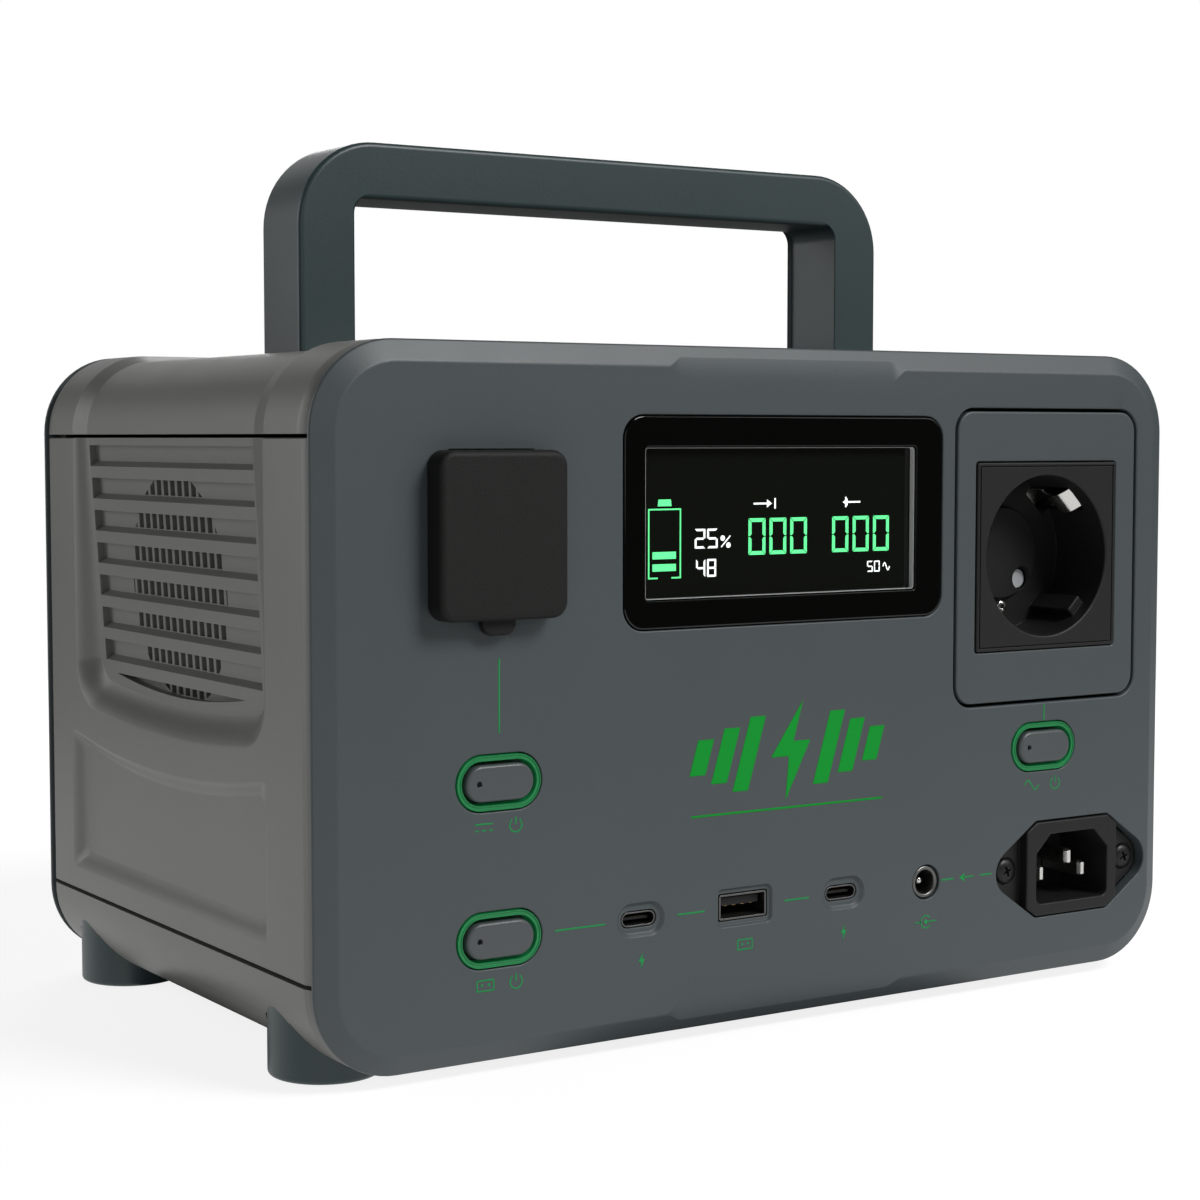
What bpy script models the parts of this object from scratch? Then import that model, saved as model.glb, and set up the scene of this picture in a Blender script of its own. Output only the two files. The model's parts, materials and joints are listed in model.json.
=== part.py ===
"""Portable power station: a louvred plastic case with a handle, sockets, ports, buttons and a battery inside.

The part stands on its feet at Z = 0, faces -Y, and is centred on X and Y. Sizes are in millimetres and are
placed by x (from the middle), depth (behind the flat front face) and height (above the case's underside).
"""
from math import cos, pi, radians, sin, tan

import bmesh
import bpy
from mathutils import Matrix, Vector

MM = 0.001
GAP = 0.3                      # between pieces that touch on the real object
IN_FRONT = -2                  # depths where a cutter through the front cover starts and ends
BEHIND = 20

# Case
CASE_WIDTH = 240.5
CASE_DEPTH = 156.0
CASE_HEIGHT = 153.5
CASE_CORNER = 19.2
CASE_WALL = 3.0
HALF_WIDTH = CASE_WIDTH / 2
FOOT_REACH = 3.0               # how far the feet stand below the case
FLAP_PROUD = 6.0               # how far the rubber flap stands in front of the case
ORIGIN_DEPTH = (CASE_DEPTH - FLAP_PROUD) / 2

# Front and rear covers
COVER_CHAMFER_WIDTH = 4.65
COVER_CHAMFER_DEPTH = 2.3
COVER_EDGE = 3.2               # depth of the cover's visible rim
COVER_WALL = 3.0
LIP_INSET = 3.6
LIP_WALL = 1.8
LIP_DEPTH = 8.0
NOTCH_HALF = 30.0              # facet in the middle of the top and bottom chamfers
NOTCH_END = 34.0
NOTCH_FACE = 7.6               # where the facet starts on the face, from the case's edge
NOTCH_CHAMFER = 2.6            # where it ends on the chamfer

# Shells between the covers
SHELL_FRONT = 3.9
SHELL_EDGE = 2.4               # length and depth of the shells' bevelled ends
SHELL_EDGE_INSET = 1.0
SEAM = 0.8
TOP_SEAM = 133.5
BOTTOM_SEAM = 20.3

# The shallow band that runs down both sides and over the top
BAND_FRONT = 23.7
BAND_REAR = 133.5
BAND_FLOOR_FRONT = 31.3
BAND_FLOOR_REAR = 128.0
BAND_RECESS = 1.5
VENT_SLOPE = 0.055             # how fast the vent's floor goes deeper, downwards
VENT_TAPER = 0.042             # how fast its floor gets narrower, downwards
VENT_BOTTOM = 64.3
VENT_SAG = 3.4
VENT_CORNER = 12.0
VENT_FLOOR_BOTTOM = 71.6
VENT_WALL = 2.0
RIB_TOP = 131.3
RIB_PITCH = 7.9
RIB_COUNT = 7
LOUVRE_HEIGHT = 5.1
LOUVRE_DEPTH = 1.8
LOUVRE_SLOPE = 1.3
LOUVRE_MARGIN = 1.3
CRESCENT_TOP = 75.9
CRESCENT_BOTTOM = 73.2
CRESCENT_HALF = 37.0
SLOT_PITCH = 3.95
SLOT_WIDTH = 2.6
FAN_DEPTH = 81.0               # the fan's centre, and the centre of the round field of slots
FAN_HEIGHT = 98.5
SLOT_FIELD_RADIUS = 27.0

# Lower side recess
PANEL_RECESS = 2.0
PANEL_FRONT = 23.5
PANEL_REAR = 137.0
PANEL_BOTTOM = 26.0
PANEL_TOP = 56.4
PANEL_SAG = 4.6
PANEL_SLOPE = 5.5

# Handle and feet
HANDLE_HALF = 86.4
HANDLE_LEG = 13.0
HANDLE_TOP = 203.0
HANDLE_BAR = 13.5
HANDLE_FRONT = 75.2
HANDLE_REAR = 95.8
HANDLE_CORNER = 20.0
HANDLE_INNER_CORNER = 3.7
HANDLE_SCREW_RADIUS = 2.5
HANDLE_SCREW_TOP = 172.0
FOOT_X = 106.7
FOOT_DEPTHS = {"front": 24.2, "rear": 133.1}
FOOT_RADIUS = 12.4
FOOT_TOP = 14.9
FOOT_BOSS_TOP = 16.6
FOOT_BOSS_RADIUS = 14.0

# Front panel, as (low x, high x, low height, high height)
DISPLAY = (-45.5, 45.2, 91.0, 137.9)
DISPLAY_CORNER = 5.0
DISPLAY_THICKNESS = 2.1
DISPLAY_REBATE = 2.3
DISPLAY_HOLE = (-42.2, 41.9, 94.4, 134.5)
LCD_DEPTHS = (2.4, 3.4, 7.5)    # the module's glass, its frame's front, its back
SURROUND = (50.3, 108.95, 68.75, 139.45)
SURROUND_CORNER = 4.8
GROOVE = 0.8
SURROUND_THICKNESS = 3.3
SURROUND_FLANGE = 3.0
SOCKET_X = 79.3
SOCKET_HEIGHT = 104.2
SOCKET_HALF = 22.9
WELL_RADIUS = 19.75
WELL_DEPTH = 17.2
WELL_BODY_RADIUS = 22.3
WELL_BODY_DEPTH = 21.0
CONTACT_PITCH = 19.0
CONTACT_HOLE = 2.8
CONTACT_RADIUS = 2.4
EARTH_ANGLE = radians(45)
EARTH_SLOT = (16.5, 21.0)      # from the well's middle
EARTH_PATH = [(20.1, 5.2), (17.4, 8.5), (19.8, 13.5), (19.8, 22.2)]    # half of the strap: (reach, depth)

INLET_X = 89.1
INLET_HEIGHT = 26.3
INLET_FLAT = 12.0
INLET_HALF_HEIGHT = 11.8
INLET_TIP = 29.0
INLET_TIP_RADIUS = 5.5
INLET_BLOCK = 15.3
INLET_EAR_DEPTH = 2.6
INLET_EAR_BACK = 5.6
INLET_BACK = 24.0
INLET_CAVITY_DEPTH = 17.0
INLET_COLLAR_BACK = 9.8
INLET_SCREW = 20.0
INLET_SCREW_HOLE = 1.9
INLET_BLADE = (2, 4)
# Each blade's x and height from the middle of the inlet, and the depth of its tip
INLET_BLADES = {"earth": (0, 2, 1.0), "line": (-7, -2, 3.4), "neutral": (7, -2, 3.4)}

FLAP = (-94.5, -63.3, 95.0, 130.6)
FLAP_CORNER = 3.6
FLAP_AXIS_DEPTH = -1.0
FLAP_SIDE_WALL = 1.0
FLAP_FRONT_WALL = 2.0
CAR_SOCKET_X = -78.9
CAR_SOCKET_HEIGHT = 110.9
CAR_SOCKET_BORE = 10.5
CAR_SOCKET_RADIUS = 12.7
CAR_SOCKET_BEZEL = 14.3
CAR_SOCKET_DEPTH = 42.0

BUTTONS = {"dc": (-77.3, 60.2), "usb": (-77.3, 26.6), "ac": (79.0, 57.0)}
BUTTON_LENGTH = 17.2
BUTTON_HEIGHT = 8.4
RING_LENGTH = 20.7
RING_HEIGHT = 11.8
RING_WALL = 1.2
BUTTON_PROUD = 0.7
USB_C_PORTS = {"left": -41.0, "right": 16.1}
USB_C_RECESS = (12.6, 7.7)
USB_C_FLOOR = (10.8, 5.9)
USB_C_HOLE = (9.5, 3.8)
USB_C_SHELL = (8.94, 3.26)
USB_A_RECESS = (15.6, 8.9)
USB_A_FLOOR = (14.6, 7.9)
USB_A_HOLE = (13.8, 6.4)
USB_A_SHELL = (13.2, 5.8)
USB_A_X = -12.5
DC_JACK_X = 41.4
DC_JACK_RADIUS = 3.9
DC_JACK_BORE = 2.8
PORT_HEIGHT = 26.8
BOARD_DEPTH = 12.7
BOARD_THICKNESS = 1.6

# Inside
CELL_RADIUS = 16.0
CELL_HALF = 70.0
CELL_PITCH = 33.6
BATTERY_DEPTH = 111.0
BATTERY_HEIGHT = 40.6
HOLDER_HALF = 35.0
HOLDER_X = 56.0
HOLDER_THICKNESS = 8.0
INVERTER_HEIGHT = 79.0
FAN_HALF = 30.0
FAN_OUTER_X = -110.3
FAN_THICKNESS = 15.0
FAN_BORE = 28.5
FAN_HUB = 13.0
FAN_BLADES = 7
FAN_PITCH = radians(50)

CORNER_STEPS = 6               # facets in each of the case's round corners
SMALL_STEPS = 3
PILL_STEPS = 4
ROUND_SIDES = 28
SMALL_SIDES = 14

# Colour, roughness and metallic value of each finish
FINISHES = {
    "shell": ((0.127, 0.127, 0.120), 0.45, 0.0),
    "cover": ((0.080, 0.098, 0.102), 0.45, 0.0),
    "handle": ((0.028, 0.047, 0.050), 0.5, 0.0),
    "black": ((0.022, 0.022, 0.022), 0.6, 0.0),
    "rubber": ((0.013, 0.013, 0.011), 0.8, 0.0),
    "glass": ((0.004, 0.004, 0.004), 0.08, 0.0),
    "light": ((0.028, 0.366, 0.102), 0.4, 0.0),
    "button": ((0.110, 0.125, 0.130), 0.5, 0.0),
    "metal": ((0.75, 0.75, 0.73), 0.25, 1.0),
    "board": ((0.01, 0.10, 0.03), 0.5, 0.0),
    "cell": ((0.03, 0.12, 0.45), 0.4, 0.0),
}


# Outlines: lists of (u, v) points, counter-clockwise

def filleted(corners, steps=CORNER_STEPS):
    """The polygon through corners, each (u, v) or (u, v, radius), with its radii cut as arcs."""
    outline = []
    for index, corner in enumerate(corners):
        here = Vector(corner[:2])
        radius = corner[2] if len(corner) > 2 else 0
        if not radius:
            outline.append(here)
            continue
        back = (Vector(corners[index - 1][:2]) - here).normalized()
        ahead = (Vector(corners[(index + 1) % len(corners)][:2]) - here).normalized()
        half = back.angle(ahead) / 2
        centre = here + (back + ahead).normalized() * radius / sin(half)
        start = here + back * radius / tan(half) - centre
        turn = (ahead * radius / tan(half) + here - centre).angle_signed(start)
        for step in range(steps + 1):
            outline.append(centre + Matrix.Rotation(turn * step / steps, 2) @ start)
    return outline


def rectangle(bounds, corner=0.0, grow=0.0, steps=SMALL_STEPS):
    """A rectangle, grown on every side, with round corners."""
    low_u, high_u, low_v, high_v = bounds
    radius = corner + grow if corner else 0
    low_u, low_v = low_u - grow, low_v - grow
    high_u, high_v = high_u + grow, high_v + grow
    return filleted([(low_u, low_v, radius), (high_u, low_v, radius),
                     (high_u, high_v, radius), (low_u, high_v, radius)], steps)


def centred(centre, length, height):
    """The bounds of a rectangle around a centre."""
    return (centre[0] - length / 2, centre[0] + length / 2, centre[1] - height / 2, centre[1] + height / 2)


def pill(centre, length, height, grow=0.0):
    """A slot shape with half-round ends."""
    return rectangle(centred(centre, length, height), height / 2 - 0.01, grow, PILL_STEPS)


def circle(centre, radius, sides=ROUND_SIDES):
    """A regular outline close to a circle."""
    angles = [2 * pi * i / sides for i in range(sides)]
    return [Vector((centre[0] + radius * cos(a), centre[1] + radius * sin(a))) for a in angles]


def ribbon(path, thickness):
    """The outline of a strip of even thickness along an open path."""
    sides = ([], [])
    for index, point in enumerate(path):
        before = Vector(path[max(index - 1, 0)])
        after = Vector(path[min(index + 1, len(path) - 1)])
        along = (after - before).normalized()
        across = Vector((-along.y, along.x)) * thickness / 2
        sides[0].append(Vector(point) + across)
        sides[1].append(Vector(point) - across)
    return sides[1] + sides[0][::-1]


def place(axis, level, outline):
    """The (x, depth, height) points of an outline that stands at a level along an axis."""
    if axis == "x":
        return [(level, u, v) for u, v in outline]
    if axis == "depth":
        return [(u, level, v) for u, v in outline]
    return [(u, v, level) for u, v in outline]


# Solids

def add_loft(mesh, rings, closed=False):
    """Adds a solid through rings of matching points: capped at both ends, or closed on itself."""
    loops = [[mesh.verts.new(point) for point in ring] for ring in rings]
    pairs = list(zip(loops, loops[1:]))
    if closed:
        pairs.append((loops[-1], loops[0]))
    else:
        mesh.faces.new(loops[0])
        mesh.faces.new(loops[-1])
    for near, far in pairs:
        for i in range(len(near)):
            mesh.faces.new((near[i - 1], near[i], far[i], far[i - 1]))


def loft(axis, sections, closed=False, mesh=None):
    """A solid through (level, outline) sections along an axis."""
    mesh = mesh or bmesh.new()
    add_loft(mesh, [place(axis, level, outline) for level, outline in sections], closed)
    return mesh


def prism(axis, start, end, outline, mesh=None):
    """An outline pulled from one level to another."""
    return loft(axis, [(start, outline), (end, outline)], mesh=mesh)


def box(x, depth, height, mesh=None):
    """A block between (low, high) pairs."""
    return prism("height", height[0], height[1], rectangle((*x, *depth)), mesh)


def turned(axis, centre, profile, sides=ROUND_SIDES):
    """A turned solid: profile is a list of (level, radius)."""
    return loft(axis, [(level, circle(centre, radius, sides)) for level, radius in profile])


def spun(mesh, centre, angle):
    """Turns a mesh about a front-to-back axis through centre."""
    pivot = Vector((centre[0], 0, centre[1]))
    bmesh.ops.rotate(mesh, cent=pivot, matrix=Matrix.Rotation(-angle, 3, "Y"), verts=mesh.verts)
    return mesh


def world(point):
    """Case millimetres to the part's own metres."""
    return Vector((point[0], point[1] - ORIGIN_DEPTH, point[2] + FOOT_REACH)) * MM


def face_outwards(mesh):
    """Turns every face of a closed mesh outwards."""
    bmesh.ops.recalc_face_normals(mesh, faces=mesh.faces)
    if mesh.calc_volume(signed=True) < 0:
        bmesh.ops.reverse_faces(mesh, faces=mesh.faces)


def make_object(name, mesh, pivot=None):
    """Turns a mesh in case millimetres into an object, with its origin at the pivot if there is one."""
    origin = world(pivot) if pivot else Vector()
    for vertex in mesh.verts:
        vertex.co = world(vertex.co) - origin
    quads = [face for face in mesh.faces if len(face.verts) == 4]
    bmesh.ops.connect_verts_nonplanar(mesh, faces=quads, angle_limit=radians(0.1))
    face_outwards(mesh)
    data = bpy.data.meshes.new(name)
    mesh.to_mesh(data)
    mesh.free()
    data.shade_smooth()
    data.set_sharp_from_angle(angle=radians(30))
    thing = bpy.data.objects.new(name, data)
    thing.location = origin
    bpy.context.scene.collection.objects.link(thing)
    return thing


def piece(name, mesh, finish, pivot=None):
    """A sub-part with a material of its own."""
    thing = make_object(name, mesh, pivot)
    colour, roughness, metallic = FINISHES[finish]
    material = bpy.data.materials.new(f"{name}_{finish}")
    material.use_nodes = True
    shader = material.node_tree.nodes["Principled BSDF"]
    shader.inputs["Base Color"].default_value = (*colour, 1)
    shader.inputs["Roughness"].default_value = roughness
    shader.inputs["Metallic"].default_value = metallic
    thing.data.materials.append(material)
    return thing


def tool(name, mesh):
    """A hidden shape that cuts or joins another."""
    thing = make_object(f"tool_{name}", mesh)
    thing.hide_render = True
    thing.display_type = "WIRE"
    return thing


def combine(target, shape, operation):
    """Leaves a Boolean on the target."""
    modifier = target.modifiers.new(shape.name, "BOOLEAN")
    modifier.operation = operation
    modifier.object = shape


def cut(target, name, mesh):
    """Takes a shape out of the target."""
    combine(target, tool(name, mesh), "DIFFERENCE")


def join(target, name, mesh):
    """Adds a shape to the target."""
    combine(target, tool(name, mesh), "UNION")


def bevel(target, width, segments=2):
    """Rounds the target's sharp edges."""
    modifier = target.modifiers.new("edges", "BEVEL")
    modifier.width = width * MM
    modifier.segments = segments
    modifier.limit_method = "ANGLE"
    modifier.angle_limit = radians(40)


# The case

def case_outline(inset):
    """The case's cross-section, seen from the front."""
    return rectangle((-HALF_WIDTH, HALF_WIDTH, 0, CASE_HEIGHT), CASE_CORNER, -inset, CORNER_STEPS)


def notches(depth_at):
    """Cutters for the facets in the middle of the top and bottom chamfers."""
    mesh = bmesh.new()
    slope = COVER_CHAMFER_DEPTH / COVER_CHAMFER_WIDTH
    for edge, inward in ((CASE_HEIGHT, -1), (0, 1)):
        face = (0, edge + inward * NOTCH_FACE)
        chamfer = ((COVER_CHAMFER_WIDTH - NOTCH_CHAMFER) * slope, edge + inward * NOTCH_CHAMFER)
        ridge = (0, edge + inward * COVER_CHAMFER_WIDTH)
        outside = (-4, edge + inward * 2)
        points = [(x, depth_at(depth), height) for x in (-NOTCH_HALF, NOTCH_HALF)
                  for depth, height in (face, chamfer, outside)]
        points += [(x, depth_at(depth), height) for x in (-NOTCH_END, NOTCH_END)
                   for depth, height in (ridge, outside)]
        bmesh.ops.convex_hull(mesh, input=[mesh.verts.new(point) for point in points])
    return mesh


def make_cover(name, depth_at):
    """A dished cover with a chamfered rim and an inner lip; depth_at turns a depth into the case's depth."""
    profile = [(0, COVER_CHAMFER_WIDTH), (COVER_CHAMFER_DEPTH, 0), (COVER_EDGE, 0), (COVER_EDGE, LIP_INSET),
               (LIP_DEPTH, LIP_INSET), (LIP_DEPTH, LIP_INSET + LIP_WALL), (COVER_WALL, LIP_INSET + LIP_WALL)]
    sections = [(depth_at(depth), case_outline(inset)) for depth, inset in profile]
    cover = piece(name, loft("depth", sections), "cover")
    cut(cover, f"{name}_notches", notches(depth_at))
    return cover


def inlet_outline(grow=0.0, half_width=None):
    """The six-sided outline of the inlet's flange, or the middle of it."""
    rise = INLET_HALF_HEIGHT + grow
    tip = INLET_TIP + 1.8 * grow
    flat = INLET_FLAT + 0.3 * grow
    centre = Vector((INLET_X, INLET_HEIGHT))
    if half_width is None:
        radius = INLET_TIP_RADIUS + grow
        corners = [(-flat, -rise), (flat, -rise), (tip, 0, radius), (flat, rise), (-flat, rise),
                   (-tip, 0, radius)]
    else:
        side = rise * (tip - half_width) / (tip - flat)
        corners = [(-flat, -rise), (flat, -rise), (half_width, -side), (half_width, side),
                   (flat, rise), (-flat, rise), (-half_width, side), (-half_width, -side)]
    return filleted([(u + centre.x, v + centre.y, *rest) for u, v, *rest in corners])


def make_front_cover():
    """The front cover, with a pocket or a hole for each thing on the panel."""
    cover = make_cover("front_cover", lambda depth: depth)
    join(cover, "inlet_collar", prism("depth", COVER_WALL - 0.5, INLET_COLLAR_BACK, inlet_outline(1.8)))

    pockets = prism("depth", -1, DISPLAY_REBATE, rectangle(DISPLAY, DISPLAY_CORNER, GAP))
    prism("depth", -1, INLET_EAR_BACK + GAP, inlet_outline(GAP), pockets)
    usb_a = (USB_A_X, PORT_HEIGHT)
    rim = rectangle(centred(usb_a, *USB_A_RECESS), 1.6)
    loft("depth", [(-1, rim), (0, rim), (0.8, rectangle(centred(usb_a, *USB_A_FLOOR), 1.1))], mesh=pockets)
    for x in USB_C_PORTS.values():
        rim = pill((x, PORT_HEIGHT), *USB_C_RECESS)
        loft("depth", [(-1, rim), (0, rim), (1, pill((x, PORT_HEIGHT), *USB_C_FLOOR))], mesh=pockets)
    cut(cover, "front_pockets", pockets)

    outlines = [rectangle(DISPLAY_HOLE, 3),
                rectangle(SURROUND, SURROUND_CORNER, GROOVE),
                inlet_body_outline(GAP),
                circle((CAR_SOCKET_X, CAR_SOCKET_HEIGHT), CAR_SOCKET_RADIUS + GAP),
                rectangle(flap_anchor_bounds(), 0, GAP),
                circle((DC_JACK_X, PORT_HEIGHT), DC_JACK_RADIUS + GAP, SMALL_SIDES),
                rectangle(centred(usb_a, *USB_A_HOLE), 0.6, steps=2)]
    outlines += [pill((x, PORT_HEIGHT), *USB_C_HOLE) for x in USB_C_PORTS.values()]
    outlines += [pill(centre, RING_LENGTH, RING_HEIGHT, GAP) for centre in BUTTONS.values()]
    holes = bmesh.new()
    for outline in outlines:
        prism("depth", IN_FRONT, BEHIND, outline, holes)
    for x in (INLET_X - INLET_SCREW, INLET_X + INLET_SCREW):
        screw_hole = circle((x, INLET_HEIGHT), INLET_SCREW_HOLE, SMALL_SIDES)
        prism("depth", INLET_EAR_BACK, BEHIND, screw_hole, holes)
    cut(cover, "front_holes", holes)


def shell_outline(inset, seam, upper):
    """The cross-section of the top or bottom shell: an arch of even inner size, with its outside moved in."""
    def arch(offset):
        radius = CASE_CORNER - offset
        left, right = offset - HALF_WIDTH, HALF_WIDTH - offset
        crown = CASE_HEIGHT - offset if upper else offset
        return filleted([(right, seam), (right, crown, radius), (left, crown, radius), (left, seam)])
    return arch(inset) + arch(CASE_WALL)[::-1]


def shell_profile(middle=()):
    """(depth, inset) steps along a shell, with bevelled ends."""
    rear = CASE_DEPTH - SHELL_FRONT
    return [(SHELL_FRONT, SHELL_EDGE_INSET), (SHELL_FRONT + SHELL_EDGE, 0), *middle,
            (rear - SHELL_EDGE, 0), (rear, SHELL_EDGE_INSET)]


def make_top_cover():
    """The top shell, with the shallow band across it and two holes for the handle's screws."""
    band = [(BAND_FRONT, 0), (BAND_FLOOR_FRONT, BAND_RECESS), (BAND_FLOOR_REAR, BAND_RECESS), (BAND_REAR, 0)]
    seam = TOP_SEAM + SEAM / 2
    shell = piece("top_cover", loft("depth", [(depth, shell_outline(inset, seam, True))
                                              for depth, inset in shell_profile(band)]), "shell")
    holes = bmesh.new()
    for x in handle_leg_centres():
        prism("height", CASE_HEIGHT - 10, CASE_HEIGHT + 10,
              circle((x, handle_depth()), HANDLE_SCREW_RADIUS + GAP, SMALL_SIDES), holes)
    cut(shell, "top_cover_holes", holes)


def make_bottom_shell():
    """The bottom shell: a solid base, hollowed out round four bosses that hold the feet."""
    seam = BOTTOM_SEAM - SEAM / 2

    def base(inset, top):
        radius = CASE_CORNER - inset
        left, right = inset - HALF_WIDTH, HALF_WIDTH - inset
        return filleted([(left, top), (left, inset, radius), (right, inset, radius), (right, top)])

    sections = [(depth, base(inset, seam)) for depth, inset in shell_profile()]
    shell = piece("bottom_shell", loft("depth", sections), "shell")
    hollow = tool("bottom_hollow", prism("depth", -10, CASE_DEPTH + 10, base(CASE_WALL, seam + 5)))
    bosses = bmesh.new()
    sockets = bmesh.new()
    for x in (-FOOT_X, FOOT_X):
        for depth in FOOT_DEPTHS.values():
            prism("height", -5, FOOT_BOSS_TOP, circle((x, depth), FOOT_BOSS_RADIUS), bosses)
            prism("height", -5, FOOT_TOP + GAP, circle((x, depth), FOOT_RADIUS + GAP), sockets)
    cut(hollow, "foot_bosses", bosses)
    combine(shell, hollow, "DIFFERENCE")
    cut(shell, "foot_sockets", sockets)


def vent_inset(height):
    """How deep the vent's floor lies at a height."""
    return BAND_RECESS + (TOP_SEAM - height) * VENT_SLOPE


def vent_floor(height):
    """Where the vent's floor starts and ends at a height, as depths."""
    taper = (TOP_SEAM - height) * VENT_TAPER
    return BAND_FLOOR_FRONT + taper, BAND_FLOOR_REAR - taper


def sagging(front, rear, top, bottom, sag, corner):
    """A panel outline as (depth, height): flat top, round lower corners and a bulging bottom edge."""
    middle = (front + rear) / 2
    reach = (rear - front) / 2
    edge = [(middle + reach * t, bottom + sag * t * t) for t in (-0.6, -0.3, 0, 0.3, 0.6)]
    return filleted([(front, top), (front, bottom + sag, corner), *edge, (rear, bottom + sag, corner),
                     (rear, top)])


def at_side(side, outline, inset):
    """Outline points at an inset from the case's side; the inset may depend on the height."""
    return [(side * (HALF_WIDTH - inset(v)), u, v) for u, v in outline]


def louvre(side, height):
    """Cutter for one gap between two ribs, with a sloping lower wall."""
    front, rear = vent_floor(height)
    rings = []
    for depth in (front + LOUVRE_MARGIN, rear - LOUVRE_MARGIN):
        low = height - LOUVRE_HEIGHT
        section = [(-1.0, height), (LOUVRE_DEPTH, height), (LOUVRE_DEPTH, low + LOUVRE_SLOPE),
                   (-1.0, low - LOUVRE_SLOPE / LOUVRE_DEPTH)]
        rings.append([(side * (HALF_WIDTH - vent_inset(v) - reach), depth, v) for reach, v in section])
    return rings


def slot_rows():
    """(low height, high height, widest reach) of each row of vent slots."""
    for row in range(1, RIB_COUNT):
        top = RIB_TOP - row * RIB_PITCH
        low = top - LOUVRE_HEIGHT + LOUVRE_SLOPE
        middle = (top + low) / 2 - FAN_HEIGHT
        yield low, top, (SLOT_FIELD_RADIUS ** 2 - middle ** 2) ** 0.5


def make_side_panel(name, side):
    """A side panel: a plate with a louvred vent above and a plain recess below."""
    low, high = BOTTOM_SEAM + SEAM / 2, TOP_SEAM - SEAM / 2

    def plate(inset):
        return [(side * (HALF_WIDTH - inset), low), (side * (HALF_WIDTH - CASE_WALL), low),
                (side * (HALF_WIDTH - CASE_WALL), high), (side * (HALF_WIDTH - inset), high)]

    panel = piece(name, loft("depth", [(depth, plate(inset)) for depth, inset in shell_profile()]), "shell")

    inner = side * (HALF_WIDTH - CASE_WALL + 0.3)
    pads = prism("depth", 20, 138, [
        (inner, 60), (side * (HALF_WIDTH - vent_inset(62) - LOUVRE_DEPTH - VENT_WALL), 62),
        (side * (HALF_WIDTH - vent_inset(high) - LOUVRE_DEPTH - VENT_WALL), high), (inner, high)])
    low_pad = sorted((inner, side * (HALF_WIDTH - PANEL_RECESS - CASE_WALL)))
    box(low_pad, (20, 140), (PANEL_BOTTOM - 3, 59.5), pads)
    join(panel, f"{name}_pads", pads)

    outer = sagging(BAND_FRONT, BAND_REAR, high + 2, VENT_BOTTOM, VENT_SAG, VENT_CORNER)
    floor = sagging(*vent_floor((high + VENT_FLOOR_BOTTOM) / 2), high + 2, VENT_FLOOR_BOTTOM, 2.6, 6)
    recesses = bmesh.new()
    add_loft(recesses, [at_side(side, outer, lambda v: -1), at_side(side, outer, lambda v: 0),
                        at_side(side, floor, vent_inset)])
    rim = lower_recess(0)
    add_loft(recesses, [at_side(side, rim, lambda v: -1), at_side(side, rim, lambda v: 0),
                        at_side(side, lower_recess(PANEL_SLOPE), lambda v: PANEL_RECESS)])
    cut(panel, f"{name}_recesses", recesses)

    louvres = bmesh.new()
    for rib in range(RIB_COUNT):
        add_loft(louvres, louvre(side, RIB_TOP - rib * RIB_PITCH))
    crescent = [(FAN_DEPTH + CRESCENT_HALF * t, CRESCENT_BOTTOM + (CRESCENT_TOP - CRESCENT_BOTTOM) * t * t)
                for t in (-1, -0.75, -0.5, -0.25, 0, 0.25, 0.5, 0.75, 1)]
    add_loft(louvres, [at_side(side, crescent, lambda v: vent_inset(v) - 1),
                       at_side(side, crescent, lambda v: vent_inset(v) + LOUVRE_DEPTH)])
    cut(panel, f"{name}_louvres", louvres)

    slots = bmesh.new()
    rows = [*slot_rows(), (CRESCENT_BOTTOM + 0.5, CRESCENT_TOP, 12.6)]
    for bottom, top, reach in rows:
        columns = int((reach - SLOT_WIDTH / 2) / SLOT_PITCH)
        for column in range(-columns, columns + 1):
            middle = FAN_DEPTH + column * SLOT_PITCH
            start = side * (HALF_WIDTH - vent_inset(bottom) - LOUVRE_DEPTH + 1)
            end = side * (HALF_WIDTH - 16)
            box(sorted((start, end)), (middle - SLOT_WIDTH / 2, middle + SLOT_WIDTH / 2),
                (bottom + 0.25, top - 0.15), slots)
    cut(panel, f"{name}_slots", slots)


def lower_recess(shrink):
    """The lower recess's outline: its top edge follows the vent's bulge."""
    front, rear = PANEL_FRONT + shrink, PANEL_REAR - shrink
    middle = (front + rear) / 2
    reach = (rear - front) / 2
    bottom = PANEL_BOTTOM + shrink * 0.8
    top = PANEL_TOP - shrink * 0.7
    edge = [(middle + reach * t, top + PANEL_SAG * t * t) for t in (0.75, 0.5, 0.25, 0, -0.25, -0.5, -0.75)]
    return filleted([(front, bottom, 1.5), (rear, bottom, 1.5), (rear, top + PANEL_SAG, 1.5), *edge,
                     (front, top + PANEL_SAG, 1.5)], 3)


def handle_leg_centres():
    """The x of both handle legs."""
    return (HANDLE_LEG / 2 - HANDLE_HALF, HANDLE_HALF - HANDLE_LEG / 2)


def handle_depth():
    """The depth of the handle's middle."""
    return (HANDLE_FRONT + HANDLE_REAR) / 2


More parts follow.
